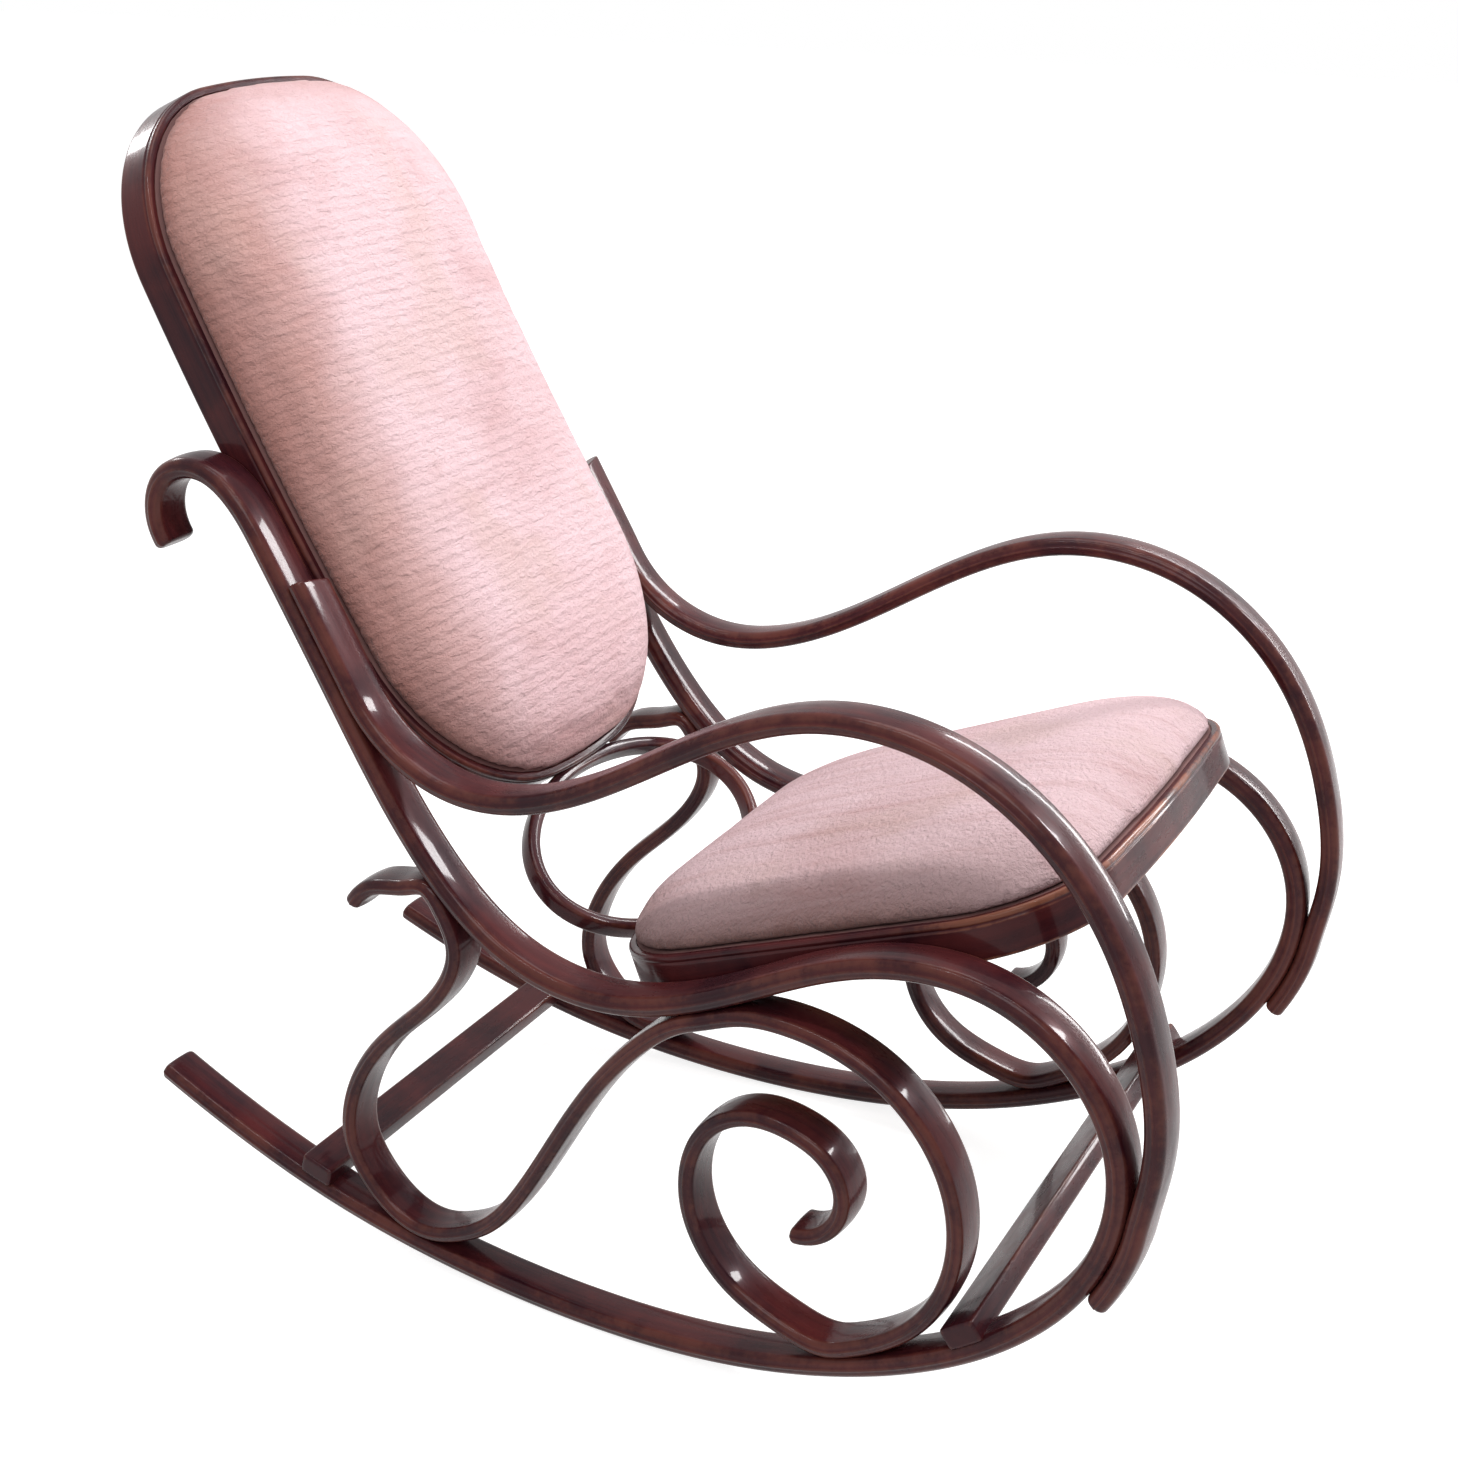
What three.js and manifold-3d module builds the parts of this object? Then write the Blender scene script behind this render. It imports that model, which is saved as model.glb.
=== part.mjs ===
// Bentwood rocking chair with an upholstered seat and back.
// Millimetres and degrees. +X is forward, +Y is the sitter's left, +Z is up.
// Each side frame is drawn in its own plane: u runs forward, v runs up, and the
// plane is splayed and leans outwards. The hoops are drawn in the planes of the
// seat and of the back. The origin is below the middle, on the floor.

import * as THREE from 'three';
import { mergeVertices } from 'three/addons/utils/BufferGeometryUtils.js';
import Module from 'manifold-3d';

const wasm = await Module();
wasm.setup();

// Fits and fineness
const fitGap = 0.3;
const overrun = 5;
const mergeReach = 0.0001;
const bendSagitta = 0.7;
const hoopSagitta = 0.5;
const longestFacet = 58;
const curveStep = 3;

// Side frames
const frameLength = 1000;
const frameHalfSpan = 236.5;
const frameSplay = THREE.MathUtils.degToRad(3.81);
const frameLean = THREE.MathUtils.degToRad(1.73);
const memberWidth = 40;
const bowThickness = 19;
const armThickness = 18;
const scrollThickness = 15.5;
const edgeEase = 4;
const runnerRestHalf = 27;

// Centre line of the bow: back curl, post, seat rail, front loop, runner, tail.
// Shares of the frame length, forward from the middle and up from the floor.
const bowShares = [
  [-0.434, 0.671], [-0.444, 0.7], [-0.435, 0.728], [-0.41, 0.745], [-0.38, 0.745],
  [-0.355, 0.73], [-0.322, 0.685], [-0.247, 0.555], [-0.166, 0.429], [-0.079, 0.356],
  [0.009, 0.339], [0.134, 0.377], [0.271, 0.441], [0.368, 0.445], [0.437, 0.407],
  [0.479, 0.333], [0.475, 0.255], [0.416, 0.158], [0.293, 0.073], [0.151, 0.026],
  [0.002, 0.0095], [-0.149, 0.0155], [-0.296, 0.041], [-0.439, 0.089], [-0.505, 0.118],
];

// Arm rest: where it lies on the bow, and its free stretch between
const armTopShare = [-0.302, 0.648];
const armLeaveShare = [-0.247, 0.555];
const armMeetShare = [0.481, 0.283];
const armFootShare = [0.455, 0.208];
const armShares = [
  [-0.19, 0.522], [-0.124, 0.498], [-0.044, 0.509], [0.089, 0.579], [0.221, 0.636],
  [0.331, 0.627], [0.442, 0.546], [0.498, 0.425], [0.5085, 0.35], [0.5065, 0.322],
];

// Scroll: its stretches between the four places where it lies on the bow
const scrollRestHalf = 10;
const scrollPostShare = [-0.147, 0.405];
const scrollHeelShare = [-0.2, 0.0225];
const scrollRailShare = [0.1, 0.362];
const scrollToeShare = [0.252, 0.057];
const scrollCurlShares = [[-0.249, 0.365], [-0.224, 0.388], [-0.187, 0.397]];
const scrollRearShares = [
  [-0.137, 0.345], [-0.15, 0.309], [-0.219, 0.235], [-0.265, 0.16], [-0.27, 0.111],
  [-0.25, 0.072],
];
const scrollMiddleShares = [
  [-0.15, 0.048], [-0.122, 0.064], [-0.076, 0.117], [0.002, 0.245], [0.055, 0.309],
];
const scrollCrestShares = [
  [0.152, 0.363], [0.194, 0.367], [0.278, 0.344], [0.337, 0.28], [0.351, 0.202],
  [0.323, 0.128],
];
const scrollSpiralShares = [
  [0.193, 0.075], [0.138, 0.103], [0.104, 0.156], [0.104, 0.213], [0.126, 0.252],
  [0.16, 0.271], [0.205, 0.269], [0.235, 0.253], [0.249, 0.227], [0.244, 0.197],
  [0.224, 0.177], [0.202, 0.172],
];

// Stretchers across the two runners
const stretcherWidth = 35;
const stretcherThickness = 20;
const stretcherHousing = 2.5;
const stretcherRearShare = [-0.32, 0.0485];
const stretcherFrontShare = [0.37, 0.119];

// Seat hoop, its board and its pad
const seatRearShare = [-0.018, 0.348];
const seatFrontShare = [0.422, 0.518];
const seatHoopHeight = 36.5;
const seatHoopThickness = 19;
const seatRearReach = 100;
const seatFrontReach = 105;
const seatFrontBow = 12;
const seatCrown = 52;

// Back hoop, its board, its pad and its rear cover
const backFootShare = [-0.145, 0.44];
const backTopShare = [-0.497, 1.052];
const backBendRadius = 3500;
const backFacet = 85;
const backHoopDepth = 36.5;
const backHoopThickness = 19;
const backFootReach = 165;
const backTopReach = 145;
const backFootBow = 16;
const backTopBow = 14;
const backCrown = 58;
const coverThickness = 3;

// Both hoops
const hoopPlaning = 0.4;
const rebateWidth = 11;
const rebateDepth = 9;
const boardThickness = 8;
const padEdge = 1.5;
const middleReachShare = 0.9;
const padDrawIn = 4;
const padEdgeShare = 0.5;
const panelRingShare = 0.5;
const padRings = 7;
const padSpacing = 50;

// Oval brace between the back hoop and the seat hoop
const ringHalfWidth = 177.5;
const ringThickness = 13;
const ringHeight = 17.5;
const ringBite = 5;
const ringSeatShare = 0.8;
const ringBackShare = 0.5;

// Countersunk wood screws
const screwHeadRadius = 4.5;
const screwHeadLength = 4;
const screwShankRadius = 2.2;
const screwSides = 6;
const screwSink = 0.4;
const screwBite = 11;
const hoopScrewBite = 14;
const armUpperScrewShare = [-0.29, 0.628];
const armLowerScrewShare = [-0.24, 0.543];
const armFootScrewShare = [0.467, 0.235];
const seatScrewShares = [[0.165, 0.393], [0.29, 0.446]];
const backScrewShares = [[-0.24, 0.544], [-0.276, 0.605]];

// Finishes
const lacquer = { color: 0x4b1f19, roughness: 0.28, metalness: 0 };
const plush = { color: 0xc99a98, roughness: 0.95, metalness: 0 };
const plainWood = { color: 0xb48a5e, roughness: 0.7, metalness: 0 };
const steel = { color: 0x8b8579, roughness: 0.4, metalness: 1 };

const flat = (share) => new THREE.Vector2(share[0], share[1]).multiplyScalar(frameLength);
const upright = (u, n, v) => new THREE.Vector3(u, n, v);
const lying = (a, h, b) => new THREE.Vector3(a, b, h);

// Cubic spline with continuous curvature through points, by chord length
function fairCurve(points) {
  const last = points.length - 1;
  const knots = [0];
  for (let i = 1; i <= last; i++) {
    knots.push(knots[i - 1] + points[i].distanceTo(points[i - 1]));
  }
  const bends = points.map(() => new THREE.Vector2());
  const weights = points.map(() => 0);
  for (let i = 1; i < last; i++) {
    const before = knots[i] - knots[i - 1];
    const after = knots[i + 1] - knots[i];
    const slopeAfter = points[i + 1].clone().sub(points[i]).divideScalar(after);
    const slopeBefore = points[i].clone().sub(points[i - 1]).divideScalar(before);
    const turn = slopeAfter.sub(slopeBefore).multiplyScalar(6);
    const endShare = (i === 1 ? before : 0) + (i === last - 1 ? after : 0);
    const carried = i === 1 ? 0 : before;
    const pivot = 2 * (before + after) + endShare - carried * weights[i - 1];
    weights[i] = i === last - 1 ? 0 : after / pivot;
    bends[i] = turn.addScaledVector(bends[i - 1], -carried).divideScalar(pivot);
  }
  for (let i = last - 2; i > 0; i--) {
    bends[i].addScaledVector(bends[i + 1], -weights[i]);
  }
  bends[0].copy(bends[1]);
  bends[last].copy(bends[last - 1]);
  function at(i, share) {
    const span = knots[i + 1] - knots[i];
    const rest = 1 - share;
    const point = points[i].clone().multiplyScalar(rest).addScaledVector(points[i + 1], share);
    point.addScaledVector(bends[i], (rest ** 3 - rest) * span * span / 6);
    return point.addScaledVector(bends[i + 1], (share ** 3 - share) * span * span / 6);
  }
  function stretch(from, to) {
    const samples = [points[from].clone()];
    for (let i = from; i < to; i++) {
      const steps = Math.ceil((knots[i + 1] - knots[i]) / curveStep);
      for (let k = 1; k <= steps; k++) samples.push(at(i, k / steps));
    }
    return samples;
  }
  return { last, stretch };
}

// Fewest stations whose chords stay within the sagitta of the samples
function thin(samples, sagitta) {
  const kept = [samples[0]];
  let start = 0;
  while (start < samples.length - 1) {
    let end = start + 1;
    while (end < samples.length - 1 && chordHolds(samples, start, end + 1, sagitta)) end++;
    kept.push(samples[end]);
    start = end;
  }
  return kept;
}

function chordHolds(samples, start, end, sagitta) {
  const chord = samples[end].clone().sub(samples[start]);
  if (chord.length() > longestFacet) return false;
  const across = new THREE.Vector2(-chord.y, chord.x).normalize();
  for (let i = start + 1; i < end; i++) {
    if (Math.abs(samples[i].clone().sub(samples[start]).dot(across)) > sagitta) return false;
  }
  return true;
}

function leftOf(from, to) {
  return new THREE.Vector2(from.y - to.y, to.x - from.x).normalize();
}

// Mitred left-hand normals of a polyline: a unit offset of every side
function mitres(points, closed) {
  const count = points.length;
  return points.map((point, i) => {
    const previous = points[(i + count - 1) % count];
    const next = points[(i + 1) % count];
    if (!closed && i === 0) return leftOf(point, next);
    if (!closed && i === count - 1) return leftOf(previous, point);
    const before = leftOf(previous, point);
    const mitre = before.clone().add(leftOf(point, next)).normalize();
    return mitre.divideScalar(mitre.dot(before));
  });
}

function offset(points, distance, closed) {
  const normals = mitres(points, closed);
  return points.map((point, i) => point.clone().addScaledVector(normals[i], distance));
}

// Closed band or bar: the section is carried along the stations. A section
// point is [along the width, along the left-hand normal].
function sweep(stations, sections, closed, place) {
  const normals = mitres(stations, closed);
  const count = stations.length;
  const size = sections[0].length;
  const vertices = [];
  stations.forEach((station, i) => {
    for (const [wide, thick] of sections[i % sections.length]) {
      const point = station.clone().addScaledVector(normals[i], thick);
      vertices.push(...place(point.x, wide, point.y).toArray());
    }
  });
  const faces = [];
  const rings = closed ? count : count - 1;
  for (let i = 0; i < rings; i++) {
    const here = i * size;
    const there = ((i + 1) % count) * size;
    for (let k = 0; k < size; k++) {
      const next = (k + 1) % size;
      faces.push(here + k, there + k, there + next, here + k, there + next, here + next);
    }
  }
  if (!closed) {
    const end = (count - 1) * size;
    for (let k = 1; k < size - 1; k++) {
      faces.push(0, k, k + 1, end, end + k + 1, end + k);
    }
  }
  return outward(vertices, faces);
}

function outward(vertices, faces) {
  const geometry = new THREE.BufferGeometry();
  geometry.setAttribute('position', new THREE.Float32BufferAttribute(vertices, 3));
  geometry.setIndex(faces);
  if (signedVolume(geometry) < 0) geometry.setIndex([...faces].reverse());
  return geometry;
}

function signedVolume(geometry) {
  const position = geometry.attributes.position;
  const index = geometry.index.array;
  const corner = (i) => new THREE.Vector3().fromBufferAttribute(position, index[i]);
  let sum = 0;
  for (let i = 0; i < index.length; i += 3) {
    sum += corner(i).dot(corner(i + 1).cross(corner(i + 2)));
  }
  return sum;
}

// Booleans
function toSolid(geometry) {
  const bare = geometry.clone();
  bare.deleteAttribute('normal');
  bare.deleteAttribute('uv');
  const merged = mergeVertices(bare, mergeReach);
  const vertProperties = Float32Array.from(merged.attributes.position.array);
  const triVerts = Uint32Array.from(merged.index.array);
  return new wasm.Manifold(new wasm.Mesh({ numProp: 3, vertProperties, triVerts }));
}

function toGeometry(solid) {
  const mesh = solid.getMesh();
  const geometry = new THREE.BufferGeometry();
  geometry.setAttribute('position', new THREE.BufferAttribute(mesh.vertProperties, 3));
  geometry.setIndex(new THREE.BufferAttribute(mesh.triVerts, 1));
  return geometry;
}

function cut(geometry, cutters) {
  let solid = toSolid(geometry);
  for (const cutter of cutters) solid = solid.subtract(toSolid(cutter));
  return toGeometry(solid);
}

function block(x, y, z, matrix) {
  const size = new THREE.Vector3(x[1] - x[0], y[1] - y[0], z[1] - z[0]);
  const geometry = new THREE.BoxGeometry(size.x, size.y, size.z);
  geometry.translate((x[0] + x[1]) / 2, (y[0] + y[1]) / 2, (z[0] + z[1]) / 2);
  return geometry.applyMatrix4(matrix);
}

function named(name, geometry, finish) {
  const faceted = geometry.index ? geometry.toNonIndexed() : geometry;
  faceted.computeVertexNormals();
  const mesh = new THREE.Mesh(faceted, new THREE.MeshStandardMaterial(finish));
  mesh.name = name;
  return mesh;
}

// Section of a bent member: a flat bar with eased edges
function barSection(width, thickness, ease) {
  const w = width / 2;
  const t = thickness / 2;
  return [
    [-w, -t + ease], [-w + ease, -t], [w - ease, -t], [w, -t + ease],
    [w, t - ease], [w - ease, t], [-w + ease, t], [-w, t - ease],
  ];
}

// A bent member through its stations, both ends eased like its edges
function bentMember(stations, thickness) {
  const last = stations.length - 1;
  const eased = (end, next) => end.clone().lerp(next, edgeEase / end.distanceTo(next));
  const path = [
    stations[0], eased(stations[0], stations[1]), ...stations.slice(1, last),
    eased(stations[last], stations[last - 1]), stations[last],
  ];
  const full = barSection(memberWidth, thickness, edgeEase);
  const small = barSection(memberWidth - edgeEase, thickness - edgeEase, edgeEase);
  const sections = path.map((point, i) => (i === 0 || i === path.length - 1 ? small : full));
  return sweep(path, sections, false, upright);
}

// Bow
const bowCurve = fairCurve(bowShares.map(flat));
const bowStations = stationsWithRest(bowCurve.stretch(0, bowCurve.last));

// Stations of the bow, with one level facet where the runner stands at rest
function stationsWithRest(samples) {
  const heights = samples.map((point) => point.y);
  const lowest = heights.indexOf(Math.min(...heights));
  const steps = Math.round(runnerRestHalf / curveStep);
  const front = samples.slice(0, lowest - steps + 1);
  const rear = samples.slice(lowest + steps);
  const level = Math.max(front[front.length - 1].y, rear[0].y);
  front[front.length - 1].setY(level);
  rear[0].setY(level);
  return [...thin(front, bendSagitta), ...thin(rear, bendSagitta)];
}

// The facets of the bow: middle, half length, direction and left normal of each
const bowFacets = bowStations.slice(1).map((end, index) => {
  const start = bowStations[index];
  const chord = end.clone().sub(start);
  const middle = start.clone().add(end).divideScalar(2);
  return { index, middle, half: chord.length() / 2, along: chord.normalize(), left: leftOf(start, end) };
});

// The place on a facet nearest a point, that far or more from the facet's ends
function placeOn(facet, point, margin) {
  const limit = Math.max(facet.half - margin, 0);
  const reach = THREE.MathUtils.clamp(point.clone().sub(facet.middle).dot(facet.along), -limit, limit);
  return facet.middle.clone().addScaledVector(facet.along, reach);
}

// The facet of the bow nearest a place, and the place on its centre line
function seatOn(share, margin) {
  const point = flat(share);
  const distances = bowFacets.map((facet) => placeOn(facet, point, 0).distanceTo(point));
  const facet = bowFacets[distances.indexOf(Math.min(...distances))];
  return { ...facet, middle: placeOn(facet, point, margin) };
}

// Arm: it lies on the post, springs free, and lies on the front loop again
const armOffset = (bowThickness + armThickness) / 2 + fitGap;
const besideBow = offset(bowStations, armOffset, false);

// The stretch of the arm that lies on the bow between two places
function armLap(startShare, endShare) {
  const start = seatOn(startShare, 0);
  const end = seatOn(endShare, 0);
  const beside = (seat) => seat.middle.clone().addScaledVector(seat.left, armOffset);
  const between = besideBow.slice(start.index + 1, end.index + 1);
  return [beside(start), ...between, beside(end)];
}

function armStations() {
  const upper = armLap(armTopShare, armLeaveShare);
  const lower = armLap(armMeetShare, armFootShare);
  const curve = fairCurve([...upper, ...armShares.map(flat), ...lower]);
  const from = upper.length - 1;
  const free = thin(curve.stretch(from, from + armShares.length + 1), bendSagitta);
  return [...upper.slice(0, -1), ...free, ...lower.slice(1)];
}

// Scroll: its stretches run between short straight rests on the bow
const scrollOffset = (bowThickness + scrollThickness) / 2 + fitGap;

function restOn(share, sense) {
  const facet = seatOn(share, scrollRestHalf);
  const middle = facet.middle.clone().addScaledVector(facet.left, -scrollOffset);
  return [-1, 1].map((end) => middle.clone().addScaledVector(facet.along, end * sense * scrollRestHalf));
}

function scrollStations() {
  const pieces = [
    scrollCurlShares.map(flat), restOn(scrollPostShare, 1), scrollRearShares.map(flat),
    restOn(scrollHeelShare, -1), scrollMiddleShares.map(flat), restOn(scrollRailShare, 1),
    scrollCrestShares.map(flat), restOn(scrollToeShare, 1), scrollSpiralShares.map(flat),
  ];
  const curve = fairCurve(pieces.flat());
  const stations = [];
  let from = 0;
  pieces.forEach((piece, i) => {
    const isRest = i % 2 === 1;
    const start = isRest ? from : Math.max(from - 1, 0);
    const end = isRest ? from + piece.length - 1 : Math.min(from + piece.length, curve.last);
    const part = isRest ? piece : thin(curve.stretch(start, end), bendSagitta);
    stations.push(...(stations.length ? part.slice(1) : part));
    from += piece.length;
  });
  return stations;
}

// Side frame planes
function sideMatrix(side) {
  const turn = new THREE.Euler(-side * frameLean, 0, side * frameSplay, 'ZXY');
  const quaternion = new THREE.Quaternion().setFromEuler(turn);
  const position = new THREE.Vector3(0, side * frameHalfSpan, 0);
  return new THREE.Matrix4().compose(position, quaternion, new THREE.Vector3(1, 1, 1));
}

function innerHalfWidth(x, z) {
  const slant = Math.cos(frameSplay) * Math.cos(frameLean);
  const spread = x * Math.tan(frameSplay) + z * Math.tan(frameLean) / Math.cos(frameSplay);
  return frameHalfSpan - memberWidth / 2 / slant + spread;
}

// Everything outside the inner face of a side frame, less the fit
function outsideOf(side, toLocal) {
  const matrix = toLocal.clone().multiply(sideMatrix(side));
  const inner = side * (-memberWidth / 2 - fitGap);
  const outer = side * memberWidth;
  const reach = [-frameLength, frameLength];
  return block(reach, [Math.min(inner, outer), Math.max(inner, outer)], [0, 2 * frameLength], matrix);
}

// Screws: head flush at the start, shank along the direction
function screwProfile(length, clearance) {
  const head = screwHeadRadius + clearance;
  const shank = screwShankRadius + clearance;
  const start = clearance > 0 ? -overrun : 0;
  const rim = clearance > 0 ? [[head, start], [head, 0]] : [[head, 0]];
  const end = length + clearance;
  const points = [[0, start], ...rim, [shank, screwHeadLength], [shank, end], [0, end]];
  return points.map(([radius, depth]) => new THREE.Vector2(radius, depth));
}

function screwPlace(start, direction) {
  const quaternion = new THREE.Quaternion().setFromUnitVectors(new THREE.Vector3(0, 1, 0), direction);
  const sunk = start.clone().addScaledVector(direction, screwSink);
  return new THREE.Matrix4().compose(sunk, quaternion, new THREE.Vector3(1, 1, 1));
}

function screwSolid(length, clearance) {
  return new THREE.LatheGeometry(screwProfile(length, clearance), screwSides);
}

function screw(name, start, direction, length) {
  const matrix = screwPlace(start, direction);
  return {
    mesh: () => {
      const mesh = named(name, screwSolid(length, 0), steel);
      mesh.applyMatrix4(matrix);
      return mesh;
    },
    hole: (toLocal) => screwSolid(length, fitGap).applyMatrix4(toLocal.clone().multiply(matrix)),
  };
}

// A screw in the plane of the side frame, across a joint of the bow
function jointScrew(name, share, side, startDepth, length, margin) {
  const facet = seatOn(share, margin);
  const start = facet.middle.clone().addScaledVector(facet.left, -side * startDepth);
  const direction = facet.left.clone().multiplyScalar(side);
  return screw(name, upright(start.x, 0, start.y), upright(direction.x, 0, direction.y), length);
}

// Seat plane and back plane
function planeMatrix(rearShare, frontShare, faceForward) {
  const start = flat(rearShare);
  const along = flat(frontShare).sub(start).normalize();
  const a = new THREE.Vector3(along.x, 0, along.y);
  const h = new THREE.Vector3(-along.y, 0, along.x).multiplyScalar(faceForward ? -1 : 1);
  const b = h.clone().cross(a);
  return new THREE.Matrix4().makeBasis(a, b, h).setPosition(start.x, 0, start.y);
}

const seatMatrix = planeMatrix(seatRearShare, seatFrontShare, false);
const backMatrix = planeMatrix(backFootShare, backTopShare, true);
const seatLength = flat(seatFrontShare).distanceTo(flat(seatRearShare));
const backChord = flat(backTopShare).distanceTo(flat(backFootShare));
const backHalfBend = Math.asin(backChord / 2 / backBendRadius);
const backLength = 2 * backHalfBend * backBendRadius;

// The back is hollow: its flat forms are bent about an axis in front of it
function bentBack(along, depth) {
  const angle = (along - backLength / 2) / backBendRadius;
  const radius = backBendRadius - depth;
  const a = backChord / 2 + radius * Math.sin(angle);
  const h = backBendRadius * Math.cos(backHalfBend) - radius * Math.cos(angle);
  return { a, h, angle };
}

function bendBack(geometry) {
  const position = geometry.attributes.position;
  for (let i = 0; i < position.count; i++) {
    const bent = bentBack(position.getX(i), position.getZ(i));
    position.setXYZ(i, bent.a, position.getY(i), bent.h);
  }
  return geometry;
}

// Frame of the bent back at its foot
function backFootMatrix() {
  const turn = new THREE.Matrix4().makeRotationY(backHalfBend);
  return backMatrix.clone().multiply(turn);
}

// Half width of a hoop at a place in its plane: up to the side frames
function hoopHalf(matrix, along, depth) {
  const place = new THREE.Vector3(along, 0, -depth / 2).applyMatrix4(matrix);
  return innerHalfWidth(place.x, place.z) - fitGap + hoopPlaning;
}

// Closed outline of straight sides and arcs. A corner is [a, b, reach], and
// its arc starts and ends that far from it.
function roundedOutline(corners) {
  const points = [];
  corners.forEach(([a, b, reach], i) => {
    const corner = new THREE.Vector2(a, b);
    const previous = new THREE.Vector2(...corners[(i + corners.length - 1) % corners.length]);
    const next = new THREE.Vector2(...corners[(i + 1) % corners.length]);
    const back = previous.sub(corner).normalize();
    const ahead = next.sub(corner).normalize();
    const turn = Math.PI - Math.acos(back.dot(ahead));
    const radius = reach / Math.tan(turn / 2);
    const inwards = back.clone().add(ahead).normalize();
    const centre = corner.clone().addScaledVector(inwards, radius / Math.cos(turn / 2));
    const start = corner.clone().addScaledVector(back, reach);
    const steps = Math.max(2, Math.ceil(turn / (2 * Math.acos(1 - hoopSagitta / radius))));
    const sense = Math.sign(ahead.cross(back));
    for (let k = 0; k <= steps; k++) {
      points.push(start.clone().rotateAround(centre, sense * turn * k / steps));
    }
  });
  return points;
}

const seatOutline = roundedOutline([
  [0, -hoopHalf(seatMatrix, 0, seatHoopHeight), seatRearReach],
  [seatLength - seatFrontBow, -hoopHalf(seatMatrix, seatLength, seatHoopHeight), seatFrontReach],
  [seatLength, 0, seatFrontReach],
  [seatLength - seatFrontBow, hoopHalf(seatMatrix, seatLength, seatHoopHeight), seatFrontReach],
  [0, hoopHalf(seatMatrix, 0, seatHoopHeight), seatRearReach],
]);

const backHalf = hoopHalf(backMatrix, backLength / 2, 0);
const backOutline = divide(roundedOutline([
  [backFootBow, -backHalf, backFootReach],
  [backLength - backTopBow, -backHalf, backTopReach],
  [backLength, 0, (backHalf - backTopReach) * middleReachShare],
  [backLength - backTopBow, backHalf, backTopReach],
  [backFootBow, backHalf, backFootReach],
  [0, 0, (backHalf - backFootReach) * middleReachShare],
]), backFacet);

// Hoop section: down from the front rim, and inwards from the outer face. The
// front has a rebate for the board, and the rear may have one for the cover.
function hoopSection(height, thickness, rearRebate) {
  const shelf = -thickness + rebateWidth;
  const rear = [
    [-height + rearRebate, -thickness], [-height + rearRebate, shelf], [-height, shelf],
  ];
  return [
    [0, -edgeEase], [0, shelf], [-rebateDepth, shelf], [-rebateDepth, -thickness],
    ...(rearRebate > 0 ? rear : [[-height, -thickness]]),
    [-height, -edgeEase], [-height + edgeEase, 0], [-edgeEase, 0],
  ];
}

function hoop(outline, section, matrix, shaped) {
  const right = mitres(outline, true)[0].dot(outline[0].clone().sub(centreOf(outline))) > 0 ? 1 : -1;
  const turned = section.map(([wide, thick]) => [wide, thick * right]);
  const toLocal = matrix.clone().invert();
  const body = shaped(sweep(outline, [turned], true, lying));
  return cut(body, [-1, 1].map((side) => outsideOf(side, toLocal)));
}

function centreOf(points) {
  const sum = points.reduce((total, point) => total.add(point), new THREE.Vector2());
  return sum.divideScalar(points.length);
}

function inset(outline, distance) {
  const normals = mitres(outline, true);
  const sense = normals[0].dot(outline[0].clone().sub(centreOf(outline))) > 0 ? -1 : 1;
  return outline.map((point, i) => point.clone().addScaledVector(normals[i], sense * distance));
}

// Extra points on long sides
function divide(outline, longest) {
  return outline.flatMap((point, i) => {
    const next = outline[(i + 1) % outline.length];
    const steps = Math.ceil(point.distanceTo(next) / longest);
    return Array.from({ length: steps }, (_, k) => point.clone().lerp(next, k / steps));
  });
}

// Thin panel: rings of points over both faces, so that it can be bent
function panel(outline, top, thickness) {
  const low = top - thickness;
  const rings = [[panelRingShare, low], [1, low], [1, top], [panelRingShare, top]];
  return domed(divide(outline, padSpacing), rings, low, top);
}

// Pad: drawn in at its foot, round at its edge, crowned in the middle
function pad(outline, foot, crown) {
  const edge = divide(outline, padSpacing);
  const drawnShare = 1 - padDrawIn / edge[0].distanceTo(centreOf(edge));
  const rings = [[panelRingShare, foot], [drawnShare, foot]];
  for (let k = 0; k < padRings; k++) {
    const angle = (k / padRings) * Math.PI / 2;
    const height = foot + padDrawIn + (crown - padDrawIn) * Math.sin(angle);
    rings.push([Math.cos(angle) ** padEdgeShare, height]);
  }
  return domed(edge, rings, foot, foot + crown);
}

// Closed body of rings about one centre. A ring is [share of the outline, height].
function domed(outline, rings, low, high) {
  const centre = centreOf(outline);
  const vertices = rings.flatMap(([share, height]) => outline.flatMap((point) => {
    const moved = centre.clone().lerp(point, share);
    return [moved.x, moved.y, height];
  }));
  const size = outline.length;
  const foot = vertices.length / 3;
  const crown = foot + 1;
  const last = (rings.length - 1) * size;
  vertices.push(centre.x, centre.y, low, centre.x, centre.y, high);
  const faces = [];
  for (let i = 0; i < size; i++) {
    const next = (i + 1) % size;
    faces.push(foot, next, i, last + i, last + next, crown);
    for (let here = 0; here < last; here += size) {
      const there = here + size;
      faces.push(here + i, here + next, there + next, here + i, there + next, there + i);
    }
  }
  return outward(vertices, faces);
}

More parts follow.
